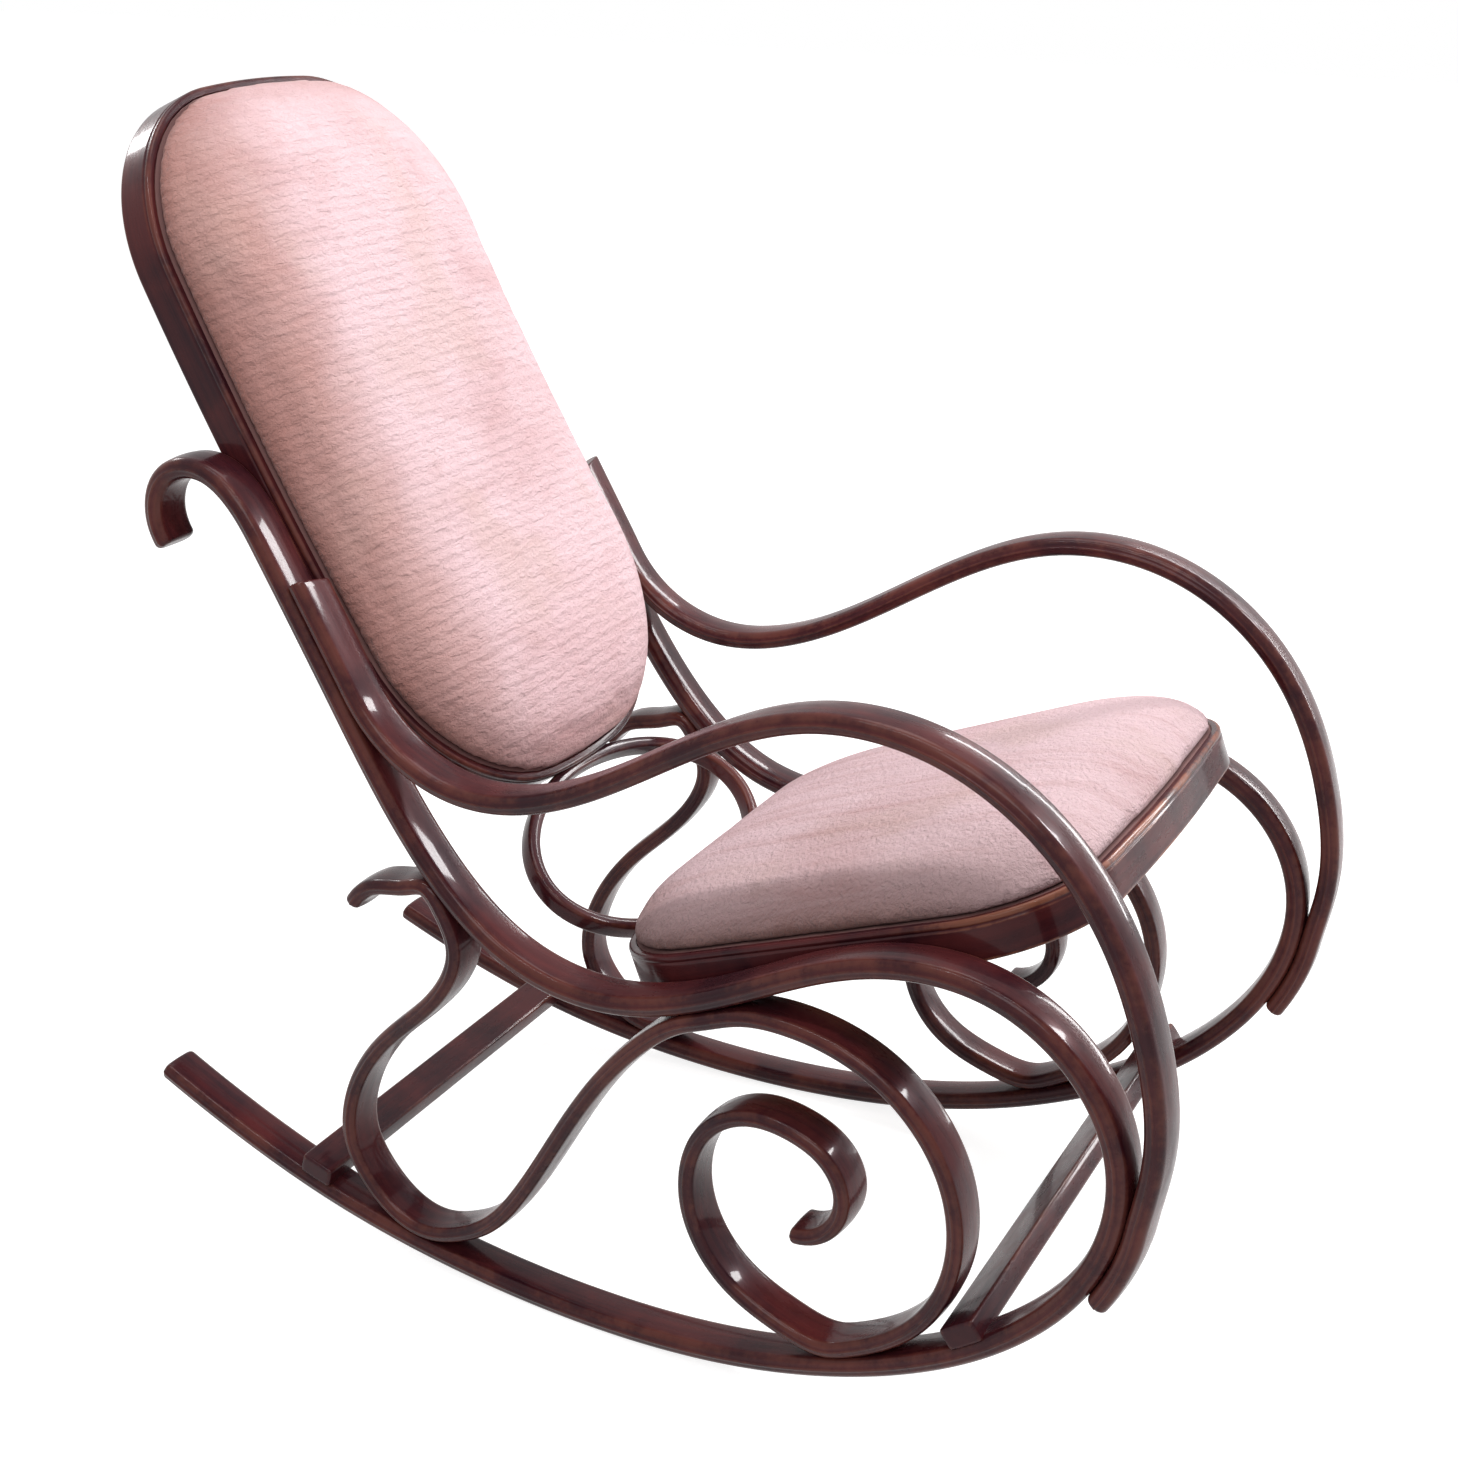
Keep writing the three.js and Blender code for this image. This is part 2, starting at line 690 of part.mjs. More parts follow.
// Oval brace: a ring between the rear of the seat hoop and the foot of the back hoop
function ringBrace() {
  const seatPoint = new THREE.Vector3(0, 0, -seatHoopHeight * ringSeatShare).applyMatrix4(seatMatrix);
  const backPoint = new THREE.Vector3(0, 0, -backHoopDepth * ringBackShare);
  backPoint.applyMatrix4(backFootMatrix());
  const along = backPoint.clone().sub(seatPoint).normalize();
  const across = new THREE.Vector3(0, 1, 0);
  const middle = seatPoint.clone().add(backPoint).divideScalar(2);
  const over = along.clone().cross(across);
  const matrix = new THREE.Matrix4().makeBasis(along, across, over).setPosition(middle);
  const halfLength = seatPoint.distanceTo(backPoint) / 2 + ringBite - ringThickness / 2;
  const halfWidth = ringHalfWidth - ringThickness / 2;
  const samples = [];
  const steps = Math.ceil(2 * Math.PI * ringHalfWidth / curveStep);
  for (let k = 0; k <= steps; k++) {
    const angle = 2 * Math.PI * k / steps;
    samples.push(new THREE.Vector2(halfLength * Math.cos(angle), halfWidth * Math.sin(angle)));
  }
  const stations = thin(samples, bendSagitta).slice(0, -1);
  const body = sweep(stations, [barSection(ringHeight, ringThickness, edgeEase)], true, lying);
  const toLocal = matrix.clone().invert();
  const reach = [-frameLength, frameLength];
  const cutters = [seatMatrix, backFootMatrix()].map((hoopMatrix) => {
    return block([-fitGap, frameLength], reach, reach, toLocal.clone().multiply(hoopMatrix));
  });
  return { matrix, geometry: cut(body, cutters) };
}

// Stretcher across both runners, housed over them and flush with their outer faces
function stretcher(share) {
  const facet = seatOn(share, stretcherWidth / 2);
  const slope = new THREE.Vector3(-facet.along.x, 0, -facet.along.y);
  const up = new THREE.Vector3(-facet.left.x, 0, -facet.left.y);
  const rise = bowThickness / 2 + stretcherThickness / 2 - stretcherHousing;
  const middle = new THREE.Vector3(facet.middle.x, 0, facet.middle.y).addScaledVector(up, rise);
  const matrix = new THREE.Matrix4().makeBasis(slope, up.clone().cross(slope), up).setPosition(middle);
  const half = frameHalfSpan + 2 * memberWidth;
  const stations = [new THREE.Vector2(0, -half), new THREE.Vector2(0, half)];
  const section = barSection(stretcherThickness, stretcherWidth, edgeEase / 2);
  const body = sweep(stations, [section], false, lying);
  const cutters = [-1, 1].flatMap((side) => {
    const toLocal = matrix.clone().invert().multiply(sideMatrix(side));
    const along = upright(facet.along.x, 0, facet.along.y);
    const left = upright(facet.left.x, 0, facet.left.y);
    const runner = new THREE.Matrix4().makeBasis(along, left.clone().cross(along), left);
    runner.setPosition(facet.middle.x, 0, facet.middle.y);
    const wide = memberWidth / 2 + fitGap;
    const thick = bowThickness / 2 + fitGap;
    const long = [-stretcherWidth, stretcherWidth];
    const notch = block(long, [-wide, wide], [-thick, thick], toLocal.clone().multiply(runner));
    const outer = [side * memberWidth / 2, side * frameHalfSpan].sort((p, q) => p - q);
    const end = block([-frameLength, frameLength], outer, [-overrun, frameLength], toLocal);
    return [notch, end];
  });
  return { matrix, geometry: cut(body, cutters) };
}

// Screws of one side frame, in its plane: through the bow into the arm and the
// stretchers, and through the scroll into the bow
function frameScrews(word) {
  const half = bowThickness / 2;
  const through = bowThickness + fitGap + screwBite;
  const fromScroll = scrollOffset + scrollThickness / 2;
  const scrollThrough = scrollThickness + fitGap + screwBite;
  const barMargin = stretcherWidth / 2;
  const arm = (place, share) => {
    return jointScrew(`screw_arm_${place}_${word}`, share, 1, half, through, scrollRestHalf);
  };
  const scroll = (place, share) => {
    const name = `screw_scroll_${place}_${word}`;
    return jointScrew(name, share, 1, fromScroll, scrollThrough, scrollRestHalf);
  };
  const bar = (place, share) => {
    return jointScrew(`screw_stretcher_${place}_${word}`, share, -1, half, through, barMargin);
  };
  return {
    arm: [
      arm('post_upper', armUpperScrewShare), arm('post_lower', armLowerScrewShare),
      arm('loop', armFootScrewShare),
    ],
    scroll: [
      scroll('post', scrollPostShare), scroll('heel', scrollHeelShare),
      scroll('rail', scrollRailShare), scroll('toe', scrollToeShare),
    ],
    rear: [bar('rear', stretcherRearShare)],
    front: [bar('front', stretcherFrontShare)],
  };
}

// Screws through the sides of a hoop, from inside, into the bow
function hoopScrew(name, side, share, thickness) {
  const start = seatOn(share, screwHeadRadius).middle;
  const inner = -side * (memberWidth / 2 + fitGap + thickness);
  const length = thickness + fitGap + hoopScrewBite;
  return screw(name, upright(start.x, inner, start.y), new THREE.Vector3(0, side, 0), length);
}

function sideScrews(side, word) {
  const row = (part, shares, thickness) => shares.map((share, i) => {
    return hoopScrew(`screw_${part}_${i + 1}_${word}`, side, share, thickness - hoopPlaning);
  });
  return {
    seat: row('seat', seatScrewShares, seatHoopThickness),
    back: row('back', backScrewShares, backHoopThickness),
  };
}

// Ring screws: from under the ring up into the seat hoop, and from inside the
// ring, along its length, into the back hoop
function ringScrews(ring) {
  const halfWay = new THREE.Vector3().setFromMatrixPosition(ring.matrix);
  const along = new THREE.Vector3().setFromMatrixColumn(ring.matrix, 0);
  const under = new THREE.Vector3().setFromMatrixColumn(ring.matrix, 2);
  const seatPoint = new THREE.Vector3(0, 0, -seatHoopHeight * ringSeatShare).applyMatrix4(seatMatrix);
  const outer = seatPoint.distanceTo(halfWay) + ringBite;
  const seatStart = halfWay.clone().addScaledVector(along, ringThickness / 2 - outer);
  seatStart.addScaledVector(under, ringHeight / 2);
  const backStart = halfWay.clone().addScaledVector(along, outer - ringThickness);
  const seatLength = ringHeight / 2 + hoopScrewBite;
  return {
    seat: screw('screw_ring_seat', seatStart, under.clone().negate(), seatLength),
    back: screw('screw_ring_back', backStart, along, ringThickness + screwBite),
  };
}

function tilted(matrix, meshes) {
  const group = new THREE.Group();
  group.applyMatrix4(matrix);
  group.add(...meshes);
  return group;
}

function buildChair() {
  const chair = new THREE.Group();
  const toLocal = (matrix) => matrix.clone().invert();
  const still = new THREE.Matrix4();
  const ring = ringBrace();
  const rings = ringScrews(ring);
  const frames = [['right', -1], ['left', 1]].map(([word, side]) => {
    return { word, side, inPlane: frameScrews(word), across: sideScrews(side, word) };
  });

  const arms = armStations();
  const scrolls = scrollStations();
  for (const { word, side, inPlane, across } of frames) {
    const screws = [...Object.values(inPlane).flat(), ...across.seat, ...across.back];
    const holes = (list) => list.map((one) => one.hole(still));
    chair.add(tilted(sideMatrix(side), [
      named(`bow_${word}`, cut(bentMember(bowStations, bowThickness), holes(screws)), lacquer),
      named(`arm_${word}`, cut(bentMember(arms, armThickness), holes(inPlane.arm)), lacquer),
      named(`scroll_${word}`, cut(bentMember(scrolls, scrollThickness), holes(inPlane.scroll)), lacquer),
      ...screws.map((one) => one.mesh()),
    ]));
  }

  const holesFor = (pick, matrix) => frames.flatMap((frame) => {
    const local = toLocal(matrix).multiply(sideMatrix(frame.side));
    return pick(frame).map((one) => one.hole(local));
  });

  for (const [place, share] of [['rear', stretcherRearShare], ['front', stretcherFrontShare]]) {
    const bar = stretcher(share);
    const holes = holesFor((frame) => frame.inPlane[place], bar.matrix);
    chair.add(tilted(bar.matrix, [named(`stretcher_${place}`, cut(bar.geometry, holes), lacquer)]));
  }

  const seatSection = hoopSection(seatHoopHeight, seatHoopThickness, 0);
  const seatHoop = cut(hoop(seatOutline, seatSection, seatMatrix, (geometry) => geometry), [
    ...holesFor((frame) => frame.across.seat, seatMatrix),
    rings.seat.hole(toLocal(seatMatrix)),
  ]);
  const seatInset = seatHoopThickness - rebateWidth + fitGap;
  const boardTop = -rebateDepth + fitGap + boardThickness;
  chair.add(tilted(seatMatrix, [
    named('seat_hoop', seatHoop, lacquer),
    named('seat_board', panel(inset(seatOutline, seatInset), boardTop, boardThickness), plainWood),
    named('seat_pad', pad(inset(seatOutline, seatInset + padEdge), boardTop + fitGap, seatCrown), plush),
  ]));

  const backSection = hoopSection(backHoopDepth, backHoopThickness, coverThickness);
  const backHoop = cut(hoop(backOutline, backSection, backMatrix, bendBack), [
    ...holesFor((frame) => frame.across.back, backMatrix),
    rings.back.hole(toLocal(backMatrix)),
  ]);
  const backInset = backHoopThickness - rebateWidth + fitGap;
  const backPanelOutline = inset(backOutline, backInset);
  const backPadOutline = inset(backOutline, backInset + padEdge);
  const coverTop = -backHoopDepth + coverThickness - fitGap;
  chair.add(tilted(backMatrix, [
    named('back_hoop', backHoop, lacquer),
    named('back_board', bendBack(panel(backPanelOutline, boardTop, boardThickness)), plainWood),
    named('back_pad', bendBack(pad(backPadOutline, boardTop + fitGap, backCrown)), plush),
    named('back_rear_cover', bendBack(panel(backPanelOutline, coverTop, coverThickness)), plush),
  ]));

  const ringHoles = [rings.seat, rings.back].map((one) => one.hole(toLocal(ring.matrix)));
  chair.add(tilted(ring.matrix, [named('ring_brace', cut(ring.geometry, ringHoles), lacquer)]));
  chair.add(rings.seat.mesh(), rings.back.mesh());
  return chair;
}

// Stand the chair on the floor with its origin below the middle of its box
const chair = buildChair();
chair.updateMatrixWorld(true);
const box = new THREE.Box3().setFromObject(chair, true);
const middle = box.getCenter(new THREE.Vector3());
chair.position.set(-middle.x, -middle.y, -box.min.z);

export default chair;
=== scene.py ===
import logging
import math
from collections.abc import Callable
from dataclasses import dataclass, field
from enum import Enum

import bpy
import numpy as np
from mathutils import Matrix, Vector


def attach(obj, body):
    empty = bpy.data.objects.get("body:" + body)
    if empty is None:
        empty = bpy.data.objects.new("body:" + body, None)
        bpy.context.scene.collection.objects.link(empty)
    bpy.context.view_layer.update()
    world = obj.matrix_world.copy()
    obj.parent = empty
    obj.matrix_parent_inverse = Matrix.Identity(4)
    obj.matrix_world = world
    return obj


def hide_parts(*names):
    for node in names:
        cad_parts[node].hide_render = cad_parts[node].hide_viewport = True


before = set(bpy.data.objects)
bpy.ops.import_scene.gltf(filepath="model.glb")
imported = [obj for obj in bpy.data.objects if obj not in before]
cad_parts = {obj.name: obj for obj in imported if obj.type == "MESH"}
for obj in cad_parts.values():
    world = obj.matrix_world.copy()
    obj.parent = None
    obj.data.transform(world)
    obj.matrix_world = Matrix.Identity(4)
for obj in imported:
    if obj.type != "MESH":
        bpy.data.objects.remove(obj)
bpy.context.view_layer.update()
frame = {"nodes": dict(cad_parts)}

log = logging.getLogger("chair")
MM = 0.001
CAP_SHARE = 0.86  # size of the flat in the middle of a bar's end, of the section
CENTRING = np.array([0.00548, 0.0, 0.00056])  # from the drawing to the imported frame
QUARTER = math.pi / 2
ARC_POINTS = 40
OUTLINE_STEP = 4 * MM


class Side(Enum):
    """The two side frames, by the sense of their place along Y."""

    RIGHT = -1
    LEFT = 1


class End(Enum):
    """How a bent member ends."""

    ROUNDED = "rounded"
    CUT = "cut"


# Curves in a plane

def spline(points: np.ndarray, step: float) -> np.ndarray:
    """Cubic spline with continuous curvature through points, by chord length.

    Between knots: P = (1-s) A + s B + (h^2 / 6) (((1-s)^3 - (1-s)) MA + (s^3 - s) MB),
    where MA and MB are the second derivatives that make the slope continuous.

    Args:
        points: the points, as an array of n rows and 2 columns.
        step: greatest distance between the samples.

    Returns:
        The samples, as an array of 2 columns.
    """
    span = np.linalg.norm(np.diff(points, axis=0), axis=1)
    count = len(points)
    matrix = np.zeros((count, count))
    inner = np.arange(1, count - 1)
    matrix[inner, inner - 1] = span[:-1]
    matrix[inner, inner] = 2 * (span[:-1] + span[1:])
    matrix[inner, inner + 1] = span[1:]
    matrix[0, :2] = (1, -1)
    matrix[-1, -2:] = (-1, 1)
    slope = np.diff(points, axis=0) / span[:, None]
    right = np.zeros_like(points)
    right[1:-1] = 6 * np.diff(slope, axis=0)
    bend = np.linalg.solve(matrix, right)
    knot = np.concatenate([[0], np.cumsum(span)])
    at = np.linspace(0, knot[-1], max(2, int(knot[-1] / step)) + 1)
    index = np.clip(np.searchsorted(knot, at, side="right") - 1, 0, count - 2)
    share = ((at - knot[index]) / span[index])[:, None]
    rest = 1 - share
    square = (span[index] ** 2 / 6)[:, None]
    straight = rest * points[index] + share * points[index + 1]
    curved = (rest ** 3 - rest) * bend[index] + (share ** 3 - share) * bend[index + 1]
    return straight + square * curved


def lengths(path: np.ndarray) -> np.ndarray:
    """Distance along a path at each of its points."""
    return np.concatenate([[0], np.cumsum(np.linalg.norm(np.diff(path, axis=0), axis=1))])


def resample(path: np.ndarray, at: np.ndarray, values: np.ndarray | None = None) -> np.ndarray:
    """Points of a path, or values held at its points, at distances along it.

    Args:
        path: points of the path.
        at: the distances.
        values: columns of values, one row for each point.

    Returns:
        One row for each distance.
    """
    along = lengths(path)
    held = path if values is None else values
    return np.stack([np.interp(at, along, column) for column in held.T], axis=1)


def left_normals(path: np.ndarray, closed: bool) -> np.ndarray:
    """Unit normals to the left of a path: the tangent turned a quarter.

    Args:
        path: points of the path.
        closed: whether the last point leads to the first.

    Returns:
        One normal for each point.
    """
    if closed:
        tangent = np.roll(path, -1, axis=0) - np.roll(path, 1, axis=0)
    else:
        tangent = np.gradient(path, axis=0)
    normal = np.stack([-tangent[:, 1], tangent[:, 0]], axis=1)
    return normal / np.linalg.norm(normal, axis=1)[:, None]


def rounded_outline(corners: list, step: float) -> np.ndarray:
    """Closed outline of straight sides and arcs.

    Each corner is (a, b, reach): its arc starts and ends that far from it, with
    radius reach / tan(turn / 2).

    Args:
        corners: the corners in order.
        step: distance between the points.

    Returns:
        Points of the outline, evenly spaced, the first not repeated.
    """
    points = []
    for i, (a, b, reach) in enumerate(corners):
        corner = np.array([a, b])
        back = np.array(corners[i - 1][:2]) - corner
        ahead = np.array(corners[(i + 1) % len(corners)][:2]) - corner
        back, ahead = back / np.linalg.norm(back), ahead / np.linalg.norm(ahead)
        turn = math.pi - math.acos(float(np.clip(back @ ahead, -1, 1)))
        radius = reach / math.tan(turn / 2)
        inwards = (back + ahead) / np.linalg.norm(back + ahead)
        centre = corner + inwards * radius / math.cos(turn / 2)
        start = corner + back * reach - centre
        sense = np.sign(ahead[0] * back[1] - ahead[1] * back[0])
        angle = sense * turn * np.linspace(0, 1, ARC_POINTS)
        arc = np.stack([start[0] * np.cos(angle) - start[1] * np.sin(angle),
                        start[0] * np.sin(angle) + start[1] * np.cos(angle)], axis=1)
        points.append(centre + arc)
    path = np.concatenate(points + [points[0][:1]])
    total = lengths(path)[-1]
    return resample(path, np.linspace(0, total, int(total / step) + 1)[:-1])


def offset(outline: np.ndarray, distance: float) -> np.ndarray:
    """A closed outline moved outwards.

    Args:
        outline: points of the outline.
        distance: how far it moves, less than 0 for inwards.

    Returns:
        The moved points.
    """
    normal = left_normals(outline, True)
    outwards = np.sign(np.sum((outline - outline.mean(axis=0)) * normal))
    return outline + normal * outwards * distance


# Sections. A section is closed, counter-clockwise, as [wide, thick].

def bar_section(width: float, thickness: float, radius: float, crown: float) -> np.ndarray:
    """Bar with rounded edges and slightly crowned faces.

    Quarter circles of that radius join the flats, and every flat stands proud by
    crown (1 - t^2), with t from -1 to 1 along it.

    Args:
        width: size across the plane of the bend.
        thickness: size in the plane of the bend.
        radius: radius of the edges.
        crown: how far the middle of a face stands proud.

    Returns:
        The section's points.
    """
    half = np.array([width / 2 - radius, thickness / 2 - radius])
    angle = np.linspace(0, QUARTER, 8)
    flat = np.linspace(-1, 1, 7)[1:-1]
    points = []
    for k, corner in enumerate(((1, 1), (-1, 1), (-1, -1), (1, -1))):
        turned = angle + k * QUARTER
        arc = np.stack([np.cos(turned), np.sin(turned)], axis=1) * radius
        points.append(np.array(corner) * half + arc)
        outward = np.array([math.cos(turned[-1]), math.sin(turned[-1])])
        run = np.array([-outward[1], outward[0]])
        reach = abs(run @ half)
        middle = outward * (abs(outward @ half) + radius)
        proud = crown * (1 - flat ** 2)
        points.append(middle + np.outer(flat * reach, run) + np.outer(proud, outward))
    return np.concatenate(points)


def edge_mask(section: np.ndarray, sharp: float = 7 * MM) -> np.ndarray:
    """Share of worn edge round a section: its convex bend, over that of a radius.

    Args:
        section: closed section.
        sharp: radius from which an edge counts in full.

    Returns:
        0 on the faces and in hollows, 1 on the rounded edges.
    """
    ahead = np.roll(section, -1, axis=0) - section
    behind = section - np.roll(section, 1, axis=0)
    cross = behind[:, 0] * ahead[:, 1] - behind[:, 1] * ahead[:, 0]
    step = (np.linalg.norm(ahead, axis=1) + np.linalg.norm(behind, axis=1)) / 2
    bend = cross / step ** 3 * np.sign(cross.sum())
    share = np.clip(bend * sharp, 0, 1)
    return (np.roll(share, 1) + 2 * share + np.roll(share, -1)) / 4


# Meshes

def bridge(first: np.ndarray, second: np.ndarray) -> list:
    """Faces between closed rings of vertex numbers, each ring along the last axis."""
    ahead, behind = np.roll(first, -1, axis=-1), np.roll(second, -1, axis=-1)
    return np.stack([first, ahead, behind, second], axis=-1).reshape(-1, 4).tolist()


def build_mesh(name: str, points: np.ndarray, faces: list, smooth: bool = True) -> bpy.types.Object:
    """A mesh object at the origin, with its faces as they are given.

    Args:
        name: name of the piece.
        points: vertices, as an array of 3 columns.
        faces: lists of vertex numbers.
        smooth: whether the faces are shaded smooth.

    Returns:
        The new object, linked to the scene.
    """
    mesh = bpy.data.meshes.new(name)
    mesh.from_pydata(points.tolist(), [], faces)
    mesh.polygons.foreach_set("use_smooth", np.full(len(mesh.polygons), smooth))
    mesh.update()
    obj = bpy.data.objects.new(name, mesh)
    bpy.context.scene.collection.objects.link(obj)
    return obj


def carried(name: str, rings: np.ndarray, closed: bool, along: np.ndarray,
            section: np.ndarray) -> bpy.types.Object:
    """The skin through rings of points: X(i, j), a section j carried along a path i.

    Args:
        name: name of the piece.
        rings: array of stations by section points by 3.
        closed: whether the path closes on itself.
        along: distance along the path at each station, one more if closed.
        section: the full section, before its ends are drawn in.

    Returns:
        The object, with a UV map "grain" in metres and an attribute "edge".
    """
    stations, size = rings.shape[:2]
    rows = stations if closed else stations - 1
    i, j = np.meshgrid(np.arange(rows), np.arange(size), indexing="ij")
    i2, j2 = (i + 1) % stations, (j + 1) % size
    around = lengths(np.concatenate([section, section[:1]]))
    quads = np.stack([i * size + j, i2 * size + j, i2 * size + j2, i * size + j2], axis=-1)
    quads = quads.reshape(-1, 4)
    grain = np.stack([
        np.stack([along[i], along[i + 1], along[i + 1], along[i]], axis=-1),
        np.stack([around[j], around[j], around[j + 1], around[j + 1]], axis=-1)], axis=-1)
    points = rings.reshape(-1, 3)
    a, b, c, d = points[quads.T]
    flip = np.sum(a * np.cross(b, c)) + np.sum(a * np.cross(c, d)) < 0
    order = [0, 3, 2, 1] if flip else [0, 1, 2, 3]
    faces = quads[:, order].tolist()
    worn = np.tile(edge_mask(section), stations)
    for end in () if closed else (0, rows):
        rim = end * size + np.arange(size)
        centre = points[rim].mean(axis=0)
        inner = len(points) + np.arange(size)
        points = np.concatenate([points, centre + (points[rim] - centre) * CAP_SHARE])
        worn = np.concatenate([worn, np.zeros(size)])
        if (end == 0) == flip:
            rim, inner = rim[::-1], inner[::-1]
        faces += bridge(rim, inner) + [inner.tolist()]
    obj = build_mesh(name, points, faces)
    grain = grain.reshape(-1, 4, 2)[:, order].ravel()
    caps = np.zeros(2 * len(obj.data.loops) - len(grain))
    layer = obj.data.uv_layers.new(name="grain")
    layer.data.foreach_set("uv", np.concatenate([grain, caps]))
    obj.data.attributes.new("edge", "FLOAT", "POINT").data.foreach_set("value", worn)
    return obj


@dataclass
class Plane:
    """A plane in which pieces are drawn: origin, and three unit directions."""

    origin: np.ndarray
    first: np.ndarray
    normal: np.ndarray
    second: np.ndarray

    def place(self, first: np.ndarray, normal: np.ndarray, second: np.ndarray) -> np.ndarray:
        """Points of the row frame: origin + first F + normal N + second S."""
        moved = (np.multiply.outer(first, self.first) + np.multiply.outer(normal, self.normal)
                 + np.multiply.outer(second, self.second))
        return moved + self.origin + CENTRING

    def height(self, points: np.ndarray) -> np.ndarray:
        """Height of points of the row frame over the plane's face."""
        return (points - self.origin - CENTRING) @ self.second


@dataclass
class BentSheet:
    """A plane bent about an axis across it, in front of its face.

    At a distance a along it and a height h: angle t = (a - length / 2) / R, then
    chord / 2 + (R - h) sin t along the plane and R cos(half) - (R - h) cos t over it.
    """

    plane: Plane
    chord: float
    radius: float

    def __post_init__(self) -> None:
        """Works out the bend from its chord."""
        self.half = math.asin(self.chord / 2 / self.radius)
        self.length = 2 * self.half * self.radius

    def place(self, first: np.ndarray, normal: np.ndarray, second: np.ndarray) -> np.ndarray:
        """Points of the row frame.

        Args:
            first: distances along the bent face.
            normal: distances across it.
            second: heights over it.

        Returns:
            The points, as an array of 3 columns.
        """
        angle = (first - self.length / 2) / self.radius
        reach = self.radius - second
        along = self.chord / 2 + reach * np.sin(angle)
        rise = self.radius * math.cos(self.half) - reach * np.cos(angle)
        return self.plane.place(along, normal, rise)

    def height(self, points: np.ndarray) -> np.ndarray:
        """Height of points over the bent face.

        Args:
            points: points of the row frame.

        Returns:
            One height for each point.
        """
        moved = points - self.plane.origin - CENTRING
        along = moved @ self.plane.first - self.chord / 2
        rise = self.radius * math.cos(self.half) - moved @ self.plane.second
        return self.radius - np.hypot(along, rise)


# Shader nodes

def operator(operation: str, reflected: bool = False) -> Callable:
    """An operator of Value: one Math node, its operands swapped where it is reflected."""
    def method(self: "Value", other: object) -> "Value":
        """The sum as a new value."""
        first, second = (other, self) if reflected else (self, other)
        return self.bench.node("ShaderNodeMath", {"operation": operation}, {0: first, 1: second})
    return method


class Value:
    """A socket that takes part in sums: each operator adds its Math node."""

    def __init__(self, bench: "Bench", socket: bpy.types.NodeSocket) -> None:
        """Wraps a socket of that bench."""
        self.bench = bench
        self.socket = socket

    __add__, __radd__ = operator("ADD"), operator("ADD", True)
    __sub__, __rsub__ = operator("SUBTRACT"), operator("SUBTRACT", True)
    __mul__, __rmul__ = operator("MULTIPLY"), operator("MULTIPLY", True)
    either = operator("MAXIMUM")

    def clamped(self) -> "Value":
        """The value held between 0 and 1."""
        return self.bench.node("ShaderNodeClamp", {}, {"Value": self})


